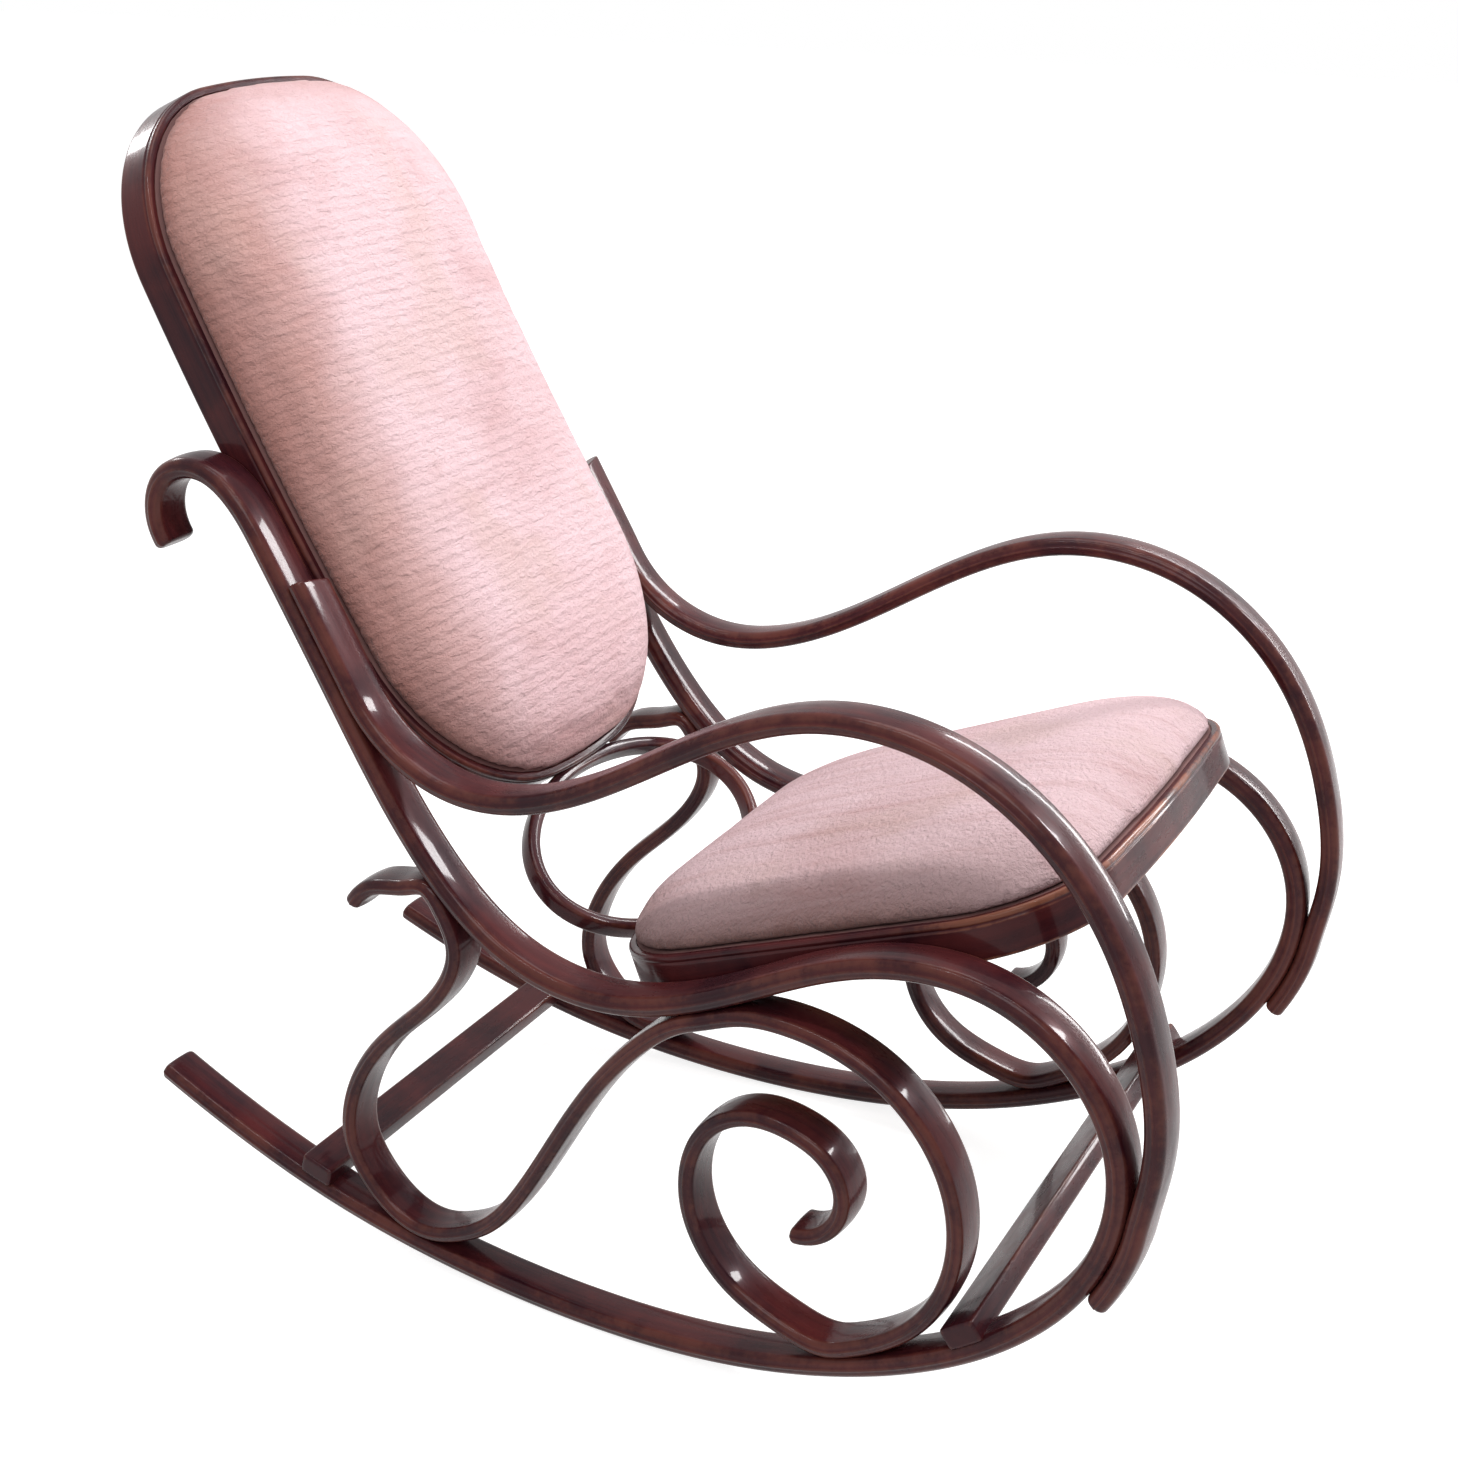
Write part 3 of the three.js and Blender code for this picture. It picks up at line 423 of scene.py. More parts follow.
class Bench:
    """The node tree of a material or world, with the few steps that finishes share."""

    def __init__(self, name: str, kind: str = "materials", main: str = "Principled BSDF") -> None:
        """Makes a material or a world with its plain tree of nodes.

        Args:
            name: its name.
            kind: "materials" or "worlds".
            main: the node that surface() feeds.
        """
        self.block = getattr(bpy.data, kind).new(name)
        self.block.use_nodes = True
        self.tree = self.block.node_tree
        self.shader = self.tree.nodes[main]

    def node(self, kind: str, settings: dict, inputs: dict, output: object = 0) -> Value:
        """Adds a node.

        Args:
            kind: type of the node.
            settings: its own settings.
            inputs: values or links of its sockets, by name or number.
            output: name or number of the output wanted.

        Returns:
            That output.
        """
        made = self.tree.nodes.new(kind)
        for key, setting in settings.items():
            setattr(made, key, setting)
        for key, given in inputs.items():
            self.feed(made.inputs[key], given)
        return Value(self, made.outputs[output])

    def feed(self, socket: bpy.types.NodeSocket, given: object) -> None:
        """Links a value to a socket, or sets the socket to a number or colour."""
        if isinstance(given, Value):
            self.tree.links.new(given.socket, socket)
        else:
            socket.default_value = given

    def surface(self, **inputs: object) -> None:
        """Feeds sockets of the main node, named with _ for a space."""
        for key, given in inputs.items():
            self.feed(self.shader.inputs[key.replace("_", " ")], given)

    def position(self) -> Value:
        """Place on the object, in metres."""
        return self.node("ShaderNodeTexCoord", {}, {}, "Object")

    def axis(self, letter: str) -> Value:
        """One coordinate of the place on the object."""
        return self.node("ShaderNodeSeparateXYZ", {}, {"Vector": self.position()}, letter)

    def attribute(self, name: str) -> Value:
        """A value that the mesh holds at its points."""
        return self.node("ShaderNodeAttribute", {"attribute_name": name}, {}, "Fac")

    def shown(self) -> Value:
        """1 for camera, glossy and transmission rays, 0 for others."""
        seen, glossy, through = (self.node("ShaderNodeLightPath", {}, {}, f"Is {ray} Ray")
                                 for ray in ("Camera", "Glossy", "Transmission"))
        return seen.either(glossy).either(through)

    def grain(self) -> Value:
        """Place along and round a bent member, in metres."""
        return self.node("ShaderNodeUVMap", {"uv_map": "grain"}, {})

    def scaled(self, place: Value, scale: tuple, turn: tuple = (0, 0, 0)) -> Value:
        """A place turned and then scaled by a Mapping node."""
        return self.node("ShaderNodeMapping", {"vector_type": "POINT"},
                         {"Vector": place, "Rotation": turn, "Scale": scale})

    def noise(self, place: Value, scale: float | tuple, detail: float = 3, roughness: float = 0.55,
              distortion: float = 0) -> Value:
        """Noise from 0 to 1.

        Args:
            place: where it is read.
            scale: features to a metre, one number or one for each axis.
            detail: number of finer layers.
            roughness: weight of the finer layers.
            distortion: how far the pattern is swirled.

        Returns:
            The noise.
        """
        if isinstance(scale, tuple):
            place, scale = self.scaled(place, scale), 1.0
        return self.node("ShaderNodeTexNoise", {}, {
            "Vector": place, "Scale": scale, "Detail": detail, "Roughness": roughness,
            "Distortion": distortion})

    def ramp(self, given: Value, low: float, high: float) -> Value:
        """0 below low, 1 above high and smooth between."""
        return self.node("ShaderNodeMapRange", {"interpolation_type": "SMOOTHSTEP"},
                         {"Value": given, "From Min": low, "From Max": high})

    def mix(self, share: object, first: object, second: object) -> Value:
        """Mix of two colours.

        Args:
            share: how much of the second colour there is, from 0 to 1.
            first: the colour at 0.
            second: the colour at 1.

        Returns:
            The mixed colour.
        """
        made = self.tree.nodes.new("ShaderNodeMix")
        made.data_type = "RGBA"
        for key, given in ((0, share), (6, first), (7, second)):
            self.feed(made.inputs[key], given if isinstance(given, (Value, float)) else (*given, 1))
        return Value(self, made.outputs[2])

    def bump(self, height: Value, distance: float) -> Value:
        """Normal of a height map with that relief in metres."""
        return self.node("ShaderNodeBump", {}, {
            "Height": height, "Distance": distance, "Strength": 1.0})


@dataclass(frozen=True)
class Lacquer:
    """Dark red-brown stain under gloss lacquer, rubbed along the edges."""

    name: str = "lacquer"
    dark: tuple = (0.0175, 0.004, 0.0078)
    light: tuple = (0.09, 0.0168, 0.0172)
    worn: tuple = (0.26, 0.095, 0.055)
    wear: float = 0.22
    wear_from: float = -1.0
    wear_reach: float = 0.14
    roughness: float = 0.26

    def build(self) -> bpy.types.Material:
        """The material.

        Returns:
            Base colour: soft streaks along the grain, paler where the edges are rubbed,
            forward of wear_from.
        """
        bench = Bench(self.name)
        grain = bench.grain()
        place = bench.position()
        streak = bench.noise(grain, (5, 150, 1), 4, 0.55, 0.5)
        pores = bench.noise(grain, (60, 1500, 1), 2, 0.5)
        cloud = bench.noise(place, 11, 4, 0.6)
        fleck = bench.noise(place, 130, 3, 0.6)
        tone = (0.3 * bench.ramp(streak, 0.36, 0.68) + 0.62 * bench.ramp(cloud, 0.34, 0.66)
                - 0.12 * bench.ramp(pores, 0.55, 0.75) + 0.06).clamped()
        edge = bench.attribute("edge")
        rubbed = bench.ramp(cloud * 0.6 + fleck * 0.3 + edge * 0.22, 0.56, 0.74)
        chips = bench.ramp(bench.noise(place, 85, 4, 0.7), 0.69, 0.74) * bench.ramp(cloud, 0.5, 0.6)
        fade = bench.ramp(bench.axis("X"), self.wear_from, self.wear_from + self.wear_reach)
        bare = (fade * self.wear * (edge * rubbed + 0.5 * chips)).clamped()
        colour = bench.mix(bare, bench.mix(tone, self.dark, self.light), self.worn)
        smear = bench.noise(grain, (22, 60, 1), 4, 0.6)
        rough = self.roughness + 0.16 * bench.ramp(smear, 0.4, 0.75) + 0.2 * bare
        height = 0.5 * streak + 0.2 * pores + 0.45 * bench.noise(place, 42, 2)
        bench.surface(Base_Color=colour, Roughness=rough, Normal=bench.bump(height, 0.00022),
                      Coat_Weight=0.2, Coat_Roughness=0.07, Specular_IOR_Level=0.1,
                      Specular_Tint=(0.95, 0.7, 0.76, 1))
        return bench.block


@dataclass(frozen=True)
class Plush:
    """Short-pile dusty pink plush, crushed into fine crinkles."""

    name: str = "plush"
    lit: tuple = (0.76, 0.545, 0.575)
    crushed: tuple = (0.54, 0.30, 0.30)
    # soil with painted shade: colour for the pad's foot next to the hoop
    foot_soil_and_shade: tuple = (0.30, 0.15, 0.135)
    tan: tuple = (0.60, 0.41, 0.36)
    # painted shade: darker brown colour for the sitter's right side, which is turned from the lamps
    near_side_shade: tuple = (0.40, 0.18, 0.13)
    turn: tuple = (0, 0, 0)
    across: float = 50
    along: float = 150
    relief: float = 0.0062
    ribs: float = 0.0
    wrinkles: float = 0.45
    # share of painted shade on the sitter's right side
    side: float = 0.66
    streaked: float = 0.35
    streaks: tuple = (26, 12, 26)
    fine: tuple = (310, 150, 310)

    def build(self) -> bpy.types.Material:
        """The material.

        Returns:
            Crinkles drawn out across the chair, clouds of crushed pile with painted shade in the
            creases, painted shade towards the sitter's right, ribs, and soil with painted shade at the
            foot where the attribute "foot" is high.
        """
        bench = Bench(self.name)
        place = bench.scaled(bench.position(), (1, 1, 1), self.turn)
        cloud = bench.noise(place, 5.0, 3, 0.5)
        patch = bench.noise(place, self.streaks, 3, 0.55, 0.4)
        wrinkle = bench.noise(place, (self.along, self.across, self.along), 3, 0.5, 0.5)
        crease = bench.ramp(wrinkle, 0.33, 0.47)
        fine = bench.noise(place, self.fine, 3, 0.55, 0.6)
        pile = bench.noise(place, 2300, 2, 0.6)
        wave = bench.node("ShaderNodeTexWave", {"wave_type": "BANDS", "bands_direction": "X"}, {
            "Vector": place, "Scale": 27, "Distortion": 2.0, "Detail": 2,
            "Detail Scale": 1.2, "Detail Roughness": 0.5}, "Fac")
        # mask of painted shade, rising towards -Y, the sitter's right
        right = bench.ramp(0.16 * cloud - bench.axis("Y"), 0.14, 0.28)
        # crushed pile in random clouds and patches, plus painted shade in the creases between crinkles
        # (the 1 - crease term)
        crush_and_crease_shade = (0.5 * bench.ramp(cloud, 0.42, 0.66) + self.streaked * bench.ramp(patch, 0.45, 0.72)
                 + 0.12 * (1 - crease) - 0.1).clamped()
        pile_colour = bench.mix(0.75 * crush_and_crease_shade, self.lit, self.crushed)
        base = bench.mix(self.side * right, pile_colour, self.near_side_shade)
        tanned = bench.mix(0.35 * bench.ramp(bench.noise(place, 8.5, 2), 0.52, 0.72), base, self.tan)
        # soil and painted shade at the pad's foot, heavier on the sitter's right and lighter towards
        # the front
        soil_and_shade_kept = 1 - 0.75 * bench.ramp(bench.axis("X"), 0.27, 0.4)
        soil_and_shade = (bench.attribute("foot") * soil_and_shade_kept * (0.45 + 0.6 * patch + 0.35 * right)).clamped()
        soiled_and_shaded = bench.mix(0.95 * soil_and_shade, tanned, self.foot_soil_and_shade)
        colour = bench.mix(0.12 * bench.ramp(pile, 0.35, 0.7), soiled_and_shaded, self.lit)
        height = self.wrinkles * wrinkle + 0.4 * fine + 0.07 * pile + self.ribs * wave
        bench.surface(Base_Color=colour, Roughness=0.94, Normal=bench.bump(height, self.relief),
                      Sheen_Weight=0.2, Sheen_Roughness=0.45, Sheen_Tint=(1, 0.88, 0.9, 1),
                      Specular_IOR_Level=0.12)
        return bench.block


@dataclass(frozen=True)
class BareWood:
    """Bare plywood with its grain along X; above a level along upright, a dark plush colour that
    paints shade in the crease round the pad.
    """

    name: str = "bare_wood"
    # painted shade: dark plush colour for the board's top in the crease round the pad
    plush: tuple = (0.20, 0.10, 0.095)
    upright: tuple = (0.0, 0.0, 1.0)
    level: float = 9.0
    light: tuple = (0.44, 0.27, 0.13)
    dark: tuple = (0.27, 0.145, 0.062)

    def build(self) -> bpy.types.Material:
        """The material, with grain lines, a dull surface and painted shade above the level."""
        bench = Bench(self.name)
        place = bench.position()
        line = bench.noise(place, (9, 130, 60), 5, 0.6, 0.6)
        cloud = bench.noise(place, 7, 2)
        tone = (0.7 * bench.ramp(line, 0.35, 0.7) + 0.4 * cloud - 0.1).clamped()
        height = 0.8 * line + 0.2 * bench.noise(place, 320, 2)
        over = bench.node("ShaderNodeVectorMath", {"operation": "DOT_PRODUCT"},
                          {0: place, 1: self.upright}, "Value")
        # share of painted shade, above the level
        crease_shade_share = bench.ramp(over, self.level - 1 * MM, self.level)
        wood = bench.mix(tone, self.light, self.dark)
        bench.surface(Base_Color=bench.mix(crease_shade_share, wood, self.plush), Roughness=0.68 + 0.1 * cloud,
                      Normal=bench.bump(height, 0.0003))
        return bench.block


@dataclass(frozen=True)
class Steel:
    """Dull screw heads, darkened by age."""

    name: str = "steel"
    bright: tuple = (0.33, 0.27, 0.2)
    dull: tuple = (0.09, 0.055, 0.04)

    def build(self) -> bpy.types.Material:
        """The material, with dark stains and fine scratches."""
        bench = Bench(self.name)
        place = bench.position()
        stain = bench.noise(place, 420, 4, 0.6)
        scratch = bench.noise(place, (3000, 300, 300), 2)
        bench.surface(Base_Color=bench.mix(bench.ramp(stain, 0.38, 0.62), self.bright, self.dull),
                      Metallic=0.9, Roughness=0.3 + 0.35 * stain,
                      Normal=bench.bump(0.5 * scratch + 0.5 * stain, 0.0001))
        return bench.block


class Finishes:
    """The materials of the chair, each built once."""

    board_wrap: float = 3 * MM

    def __init__(self) -> None:
        """Builds every finish."""
        self.lacquer = Lacquer().build()
        self.hoop = Lacquer("lacquer_worn", wear=0.85, wear_from=0.24).build()
        # side sets the painted shade on the sitter's right; the soiled colours give soil with painted
        # shade at each pad's foot
        self.seat_plush = Plush(
            "plush_seat", turn=(0, math.radians(21), 0), across=140, along=165, relief=0.0088,
            wrinkles=0.46, side=0.1, streaked=0.6, streaks=(5, 48, 30), foot_soil_and_shade=(0.2, 0.09, 0.07),
            fine=(310, 260, 310)).build()
        self.back_plush = Plush("plush_back", turn=(0, math.radians(-60), 0), ribs=0.12,
                                foot_soil_and_shade=(0.36, 0.15, 0.12)).build()
        seat, _ = Seat().plane()
        # the seat board's top, from board_wrap under the seat's face, takes the dark plush colour as
        # painted shade in the crease
        over = float((seat.origin + CENTRING) @ seat.second) - self.board_wrap
        self.bare_wood = BareWood(upright=tuple(seat.second), level=over).build()
        # the back board is all in the dark plush colour, painted shade behind the back pad
        self.shade_wrapped_wood = BareWood("shade_wrapped_wood", level=-9.0).build()
        self.steel = Steel().build()


def dress(obj: bpy.types.Object, material: bpy.types.Material, slot: str, *nodes: str) -> None:
    """Gives a piece its finish and its body, and hides the nodes it stands for.

    Args:
        obj: the piece.
        material: its finish.
        slot: material slot name, not used.
        nodes: CAD nodes that the piece replaces.
    """
    obj.data.materials.clear()
    obj.data.materials.append(material)
    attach(obj, "root")
    if nodes:
        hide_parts(*nodes)
    log.info("piece %s: %d faces", obj.name, len(obj.data.polygons))


@dataclass
class BentMember:
    """A bar bent along a path in a plane."""

    name: str
    width: float
    thickness: float
    radius: float = 7.5 * MM
    crown: float = 0.9 * MM
    spacing: float = 4.5 * MM
    ease: float = 5 * MM
    cut_share: float = 0.35
    skew: float = 0.0
    skewed: float = 24 * MM
    ends: tuple = (End.ROUNDED, End.ROUNDED)

    def stations(self, total: float) -> tuple:
        """Places along the path, and how far the section is drawn in at each.

        A rounded end draws the section in by e (1 - sqrt(1 - (1 - d / e)^2)) at a
        distance d from it, where e is its ease.

        Args:
            total: length of the path.

        Returns:
            Distances along the path and draw-ins, as two arrays.
        """
        turn = np.linspace(0, QUARTER, 7)
        near = [self.ease * (1 if end is End.ROUNDED else self.cut_share) for end in self.ends]
        start, stop = (ease * (1 - np.cos(turn)) for ease in near)
        drawn = [ease * (1 - np.sin(turn)) for ease in near]
        count = int((total - sum(near)) / self.spacing)
        middle = np.linspace(near[0], total - near[1], count)[1:-1]
        at = np.concatenate([start, middle, total - stop[::-1]])
        return at, np.concatenate([drawn[0], np.zeros(len(middle)), drawn[1][::-1]])

    def build(self, path: np.ndarray, plane: Plane) -> bpy.types.Object:
        """The bar through a path: X(s, j) = P(s) + thick N(s) + wide across.

        A skewed start slides each point back by skew (2 wide / width) (1 - s / skewed).

        Args:
            path: fine samples of the path in the plane.
            plane: the plane.

        Returns:
            The new object.
        """
        at, drawn = self.stations(lengths(path)[-1])
        points = resample(path, at)
        normals = resample(path, at, left_normals(path, False))
        section = bar_section(self.width, self.thickness, self.radius, self.crown)
        half = np.array([self.width, self.thickness]) / 2
        shrink = 1 - drawn[:, None] / half
        wide = shrink[:, :1] * section[:, 0]
        thick = shrink[:, 1:] * section[:, 1]
        across = points[:, None] + normals[:, None] * thick[..., None]
        slide = self.skew * np.clip(1 - at / self.skewed, 0, 1)[:, None] * wide / half[0]
        tangent = np.stack([normals[:, 1], -normals[:, 0]], axis=1)
        across = across - tangent[:, None] * slide[..., None]
        rings = plane.place(across[..., 0], wide, across[..., 1])
        return carried(self.name, rings, False, at, section)


@dataclass
class SideFrame:
    """One side of the chair: the bow, the arm rest and the scroll, in one plane."""

    side: Side
    half_span: float = 236.5 * MM
    splay: float = math.radians(3.81)
    lean: float = math.radians(1.73)
    width: float = 40 * MM
    bow_thickness: float = 19 * MM
    arm_thickness: float = 18 * MM
    scroll_thickness: float = 15.5 * MM
    fit: float = 0.3 * MM
    rest_half: float = 10 * MM
    scroll_edge: float = 6 * MM
    arm_skew: float = 4 * MM
    sample: float = 0.4 * MM
    bow_points: tuple = (
        (-0.434, 0.671), (-0.444, 0.7), (-0.435, 0.728), (-0.41, 0.745), (-0.38, 0.745),
        (-0.355, 0.73), (-0.322, 0.685), (-0.247, 0.555), (-0.166, 0.429), (-0.079, 0.356),
        (0.009, 0.339), (0.134, 0.377), (0.271, 0.441), (0.368, 0.445), (0.437, 0.407),
        (0.479, 0.333), (0.475, 0.255), (0.416, 0.158), (0.293, 0.073), (0.151, 0.026),
        (0.002, 0.0095), (-0.149, 0.0155), (-0.296, 0.041), (-0.439, 0.089), (-0.505, 0.118))
    arm_top: tuple = (-0.302, 0.648)
    arm_leave: tuple = (-0.247, 0.555)
    arm_meet: tuple = (0.481, 0.283)
    arm_foot: tuple = (0.455, 0.208)
    arm_points: tuple = (
        (-0.19, 0.522), (-0.124, 0.498), (-0.044, 0.509), (0.089, 0.579), (0.221, 0.636),
        (0.331, 0.627), (0.442, 0.546), (0.498, 0.425), (0.5085, 0.35), (0.5065, 0.322))
    scroll_rests: tuple = (
        ((-0.147, 0.405), 1), ((-0.2, 0.0225), -1), ((0.1, 0.362), 1), ((0.252, 0.057), 1))
    scroll_points: tuple = (
        ((-0.249, 0.365), (-0.224, 0.388), (-0.187, 0.397)),
        ((-0.137, 0.345), (-0.15, 0.309), (-0.219, 0.235), (-0.265, 0.16), (-0.27, 0.111),
         (-0.25, 0.072)),
        ((-0.15, 0.048), (-0.122, 0.064), (-0.076, 0.117), (0.002, 0.245), (0.055, 0.309)),
        ((0.152, 0.363), (0.194, 0.367), (0.278, 0.344), (0.337, 0.28), (0.351, 0.202),
         (0.323, 0.128)),
        ((0.193, 0.075), (0.138, 0.103), (0.104, 0.156), (0.104, 0.213), (0.126, 0.252),
         (0.16, 0.271), (0.205, 0.269), (0.235, 0.253), (0.249, 0.227), (0.244, 0.197),
         (0.224, 0.177), (0.202, 0.172)))

    def plane(self) -> Plane:
        """The frame's plane: splayed about Z, then leaning outwards."""
        sense = self.side.value
        splayed = Matrix.Rotation(sense * self.splay, 3, "Z")
        axes = np.array(splayed @ Matrix.Rotation(-sense * self.lean, 3, "X"))
        return Plane(np.array([0, sense * self.half_span, 0]), *axes.T)

    def bow_path(self) -> np.ndarray:
        """Fine samples of the bow's centre line."""
        return spline(np.array(self.bow_points), self.sample)

    def nearest(self, path: np.ndarray, point: tuple) -> int:
        """Number of the sample nearest a point."""
        return int(np.argmin(np.linalg.norm(path - np.array(point), axis=1)))

    def arm_path(self) -> np.ndarray:
        """Centre line of the arm: on the post, free, and on the front loop again."""
        bow = self.bow_path()
        beside = bow + left_normals(bow, False) * (
            (self.bow_thickness + self.arm_thickness) / 2 + self.fit)
        upper = np.linspace(self.nearest(bow, self.arm_top), self.nearest(bow, self.arm_leave), 7)
        lower = np.linspace(self.nearest(bow, self.arm_meet), self.nearest(bow, self.arm_foot), 6)
        points = np.concatenate([
            beside[upper.astype(int)], np.array(self.arm_points), beside[lower.astype(int)]])
        return spline(points, self.sample)

    def scroll_path(self) -> np.ndarray:
        """Centre line of the scroll, through its four rests on the bow."""
        bow = self.bow_path()
        normals = left_normals(bow, False)
        reach = (self.bow_thickness + self.scroll_thickness) / 2 + self.fit
        points = [np.array(self.scroll_points[0])]
        for (place, sense), after in zip(self.scroll_rests, self.scroll_points[1:]):
            i = self.nearest(bow, place)
            along = np.array([normals[i][1], -normals[i][0]])
            middle = bow[i] - normals[i] * reach
            ends = [middle + along * end * sense * self.rest_half for end in (-1, 1)]
            points += [np.array(ends), np.array(after)]
        return spline(np.concatenate(points), self.sample)

    def build(self, finishes: Finishes) -> None:
        """Makes the three bent members of this side.

        Args:
            finishes: the chair's materials.
        """
        word = self.side.name.lower()
        plane = self.plane()
        arm = {"skew": self.arm_skew * self.side.value, "ends": (End.CUT, End.ROUNDED)}
        for part, thickness, path, own in (
                ("bow", self.bow_thickness, self.bow_path(), {}),
                ("arm", self.arm_thickness, self.arm_path(), arm),
                ("scroll", self.scroll_thickness, self.scroll_path(), {"radius": self.scroll_edge})):
            member = BentMember(f"{part}_{word}_bent", self.width, thickness, **own)
            dress(member.build(path, plane), finishes.lacquer, "lacquered_wood", f"{part}_{word}")


def inner_half(x: float, z: float, frame_side: SideFrame) -> float:
    """Half of the room between the side frames, at a place in the drawing's frame.

    Args:
        x: how far forward the place lies.
        z: its height.
        frame_side: a side frame.

    Returns:
        Distance from the middle plane to the frame's inner face.
    """
    splay, lean = frame_side.splay, frame_side.lean
    slant = math.cos(splay) * math.cos(lean)
    spread = x * math.tan(splay) + z * math.tan(lean) / math.cos(splay)
    return frame_side.half_span - frame_side.width / 2 / slant + spread


def slanted_plane(start: tuple, end: tuple, face_forward: bool) -> tuple:
    """Plane of the seat or the back.

    Args:
        start: lower end in the middle plane, as (x, z).
        end: upper end.
        face_forward: whether its face looks forward and down the chair.

    Returns:
        The plane, with its face as second direction, and its length.
    """
    run = np.array(end) - np.array(start)
    length = float(np.linalg.norm(run))
    along = np.array([run[0], 0, run[1]]) / length
    face = np.array([-along[2], 0, along[0]]) * (-1 if face_forward else 1)
    across = np.cross(face, along)
    return Plane(np.array([start[0], 0, start[1]]), along, across, face), length


@dataclass(frozen=True)
class HoopSection:
    """Section of a hoop: a bar with a rebate for the board, and a bead below the rim."""

    height: float = 36.5 * MM
    thickness: float = 19 * MM
    rebate_width: float = 11 * MM
    rebate_depth: float = 9 * MM
    rear_rebate: float = 0.0
    edge: float = 3.2 * MM
    arris: float = 1.2 * MM
    bead: float = 6 * MM
    groove: float = 0.9 * MM
    step: float = 0.8 * MM
    play: float = 0.6 * MM

    def points(self) -> np.ndarray:
        """Section points as [down from the rim, inwards from the outer face], both negative.

        At a depth d below the rim, the outer face sinks by groove exp(-((d - bead) / groove)^2).
        """
        shelf = -self.thickness + self.rebate_width
        low = -self.height
        rear = [(low + self.rear_rebate, -self.thickness, self.arris)]
        if self.rear_rebate:
            rear += [(low + self.rear_rebate, shelf, self.arris / 4), (low, shelf, self.arris)]
        outline = rounded_outline([
            (0, 0, self.edge), (0, shelf, self.arris),
            (-self.rebate_depth, shelf, self.arris / 4),
            (-self.rebate_depth, -self.thickness, self.arris), *rear, (low, 0, self.edge)], self.step)
        wide, thick = outline.T
        outer = np.clip(2 + thick / MM, 0, 1)
        groove = self.groove * np.exp(-((wide + self.bead) / self.groove) ** 2) * outer
        return np.stack([wide, thick - groove], axis=1)

    def pad_inset(self) -> float:
        """How far inside the hoop's outer face the pad's side lies."""
        return self.thickness - self.rebate_width - self.play


@dataclass
class Seat:
    """The seat: a hoop, and a pad that stands on its board."""

    rear: tuple = (-0.018, 0.348)
    front: tuple = (0.422, 0.518)
    section: HoopSection = HoopSection()
    rear_reach: float = 100 * MM
    front_reach: float = 105 * MM
    front_bow: float = 12 * MM
    fit: float = 0.4 * MM
    crown: float = 52 * MM
    frame_side: SideFrame = field(default_factory=lambda: SideFrame(Side.LEFT))

    def plane(self) -> tuple:
        """The plane of the seat, and its length in it."""
        return slanted_plane(self.rear, self.front, False)

    def outline(self, plane: Plane, length: float) -> np.ndarray:
        """Outline of the hoop.

        Args:
            plane: the plane of the seat.
            length: length of the seat in it.

        Returns:
            Points of the outline in the plane.
        """
        def half(along: float) -> float:
            """Half of the seat's width at a distance along it."""
            place = plane.origin + plane.first * along - plane.second * self.section.height / 2
            return inner_half(place[0], place[2], self.frame_side) - self.fit
        narrow, wide = half(0), half(length)
        return rounded_outline([
            (0, -narrow, self.rear_reach), (length - self.front_bow, -wide, self.front_reach),
            (length, 0, self.front_reach), (length - self.front_bow, wide, self.front_reach),
            (0, narrow, self.rear_reach)], OUTLINE_STEP)

    def build(self, finishes: Finishes) -> None:
        """Makes the hoop and the pad.

        Args:
            finishes: the chair's materials.
        """
        plane, length = self.plane()
        outline = self.outline(plane, length)
        hoop = band("seat_hoop_bent", outline, self.section.points(), plane)
        dress(hoop, finishes.hoop, "lacquered_wood", "seat_hoop")
        pad = Pad("seat_pad_plush", offset(outline, -self.section.pad_inset()), self.crown,
                  edge_power=0.6)
        obj = pad.build(plane)
        dress(obj, finishes.seat_plush, "plush", "seat_pad")


def band(name: str, outline: np.ndarray, section: np.ndarray,
         surface: object) -> bpy.types.Object:
    """A closed band: X(i, j) = outline(i) + out(j) outward(i), at that section's height.

    Args:
        name: name of the piece.
        outline: closed outline in the plane.
        section: points as [height, distance outwards].
        surface: the plane or bent sheet that it lies on.

    Returns:
        The new object.
    """
    normal = left_normals(outline, True)
    normal *= np.sign(np.sum((outline - outline.mean(axis=0)) * normal))
    flat = outline[:, None] + normal[:, None] * section[:, 1][None, :, None]
    height = np.broadcast_to(section[:, 0], flat.shape[:2])
    rings = surface.place(flat[..., 0], flat[..., 1], height)
    along = lengths(np.concatenate([outline, outline[:1]]))
    return carried(name, rings, True, along, section)


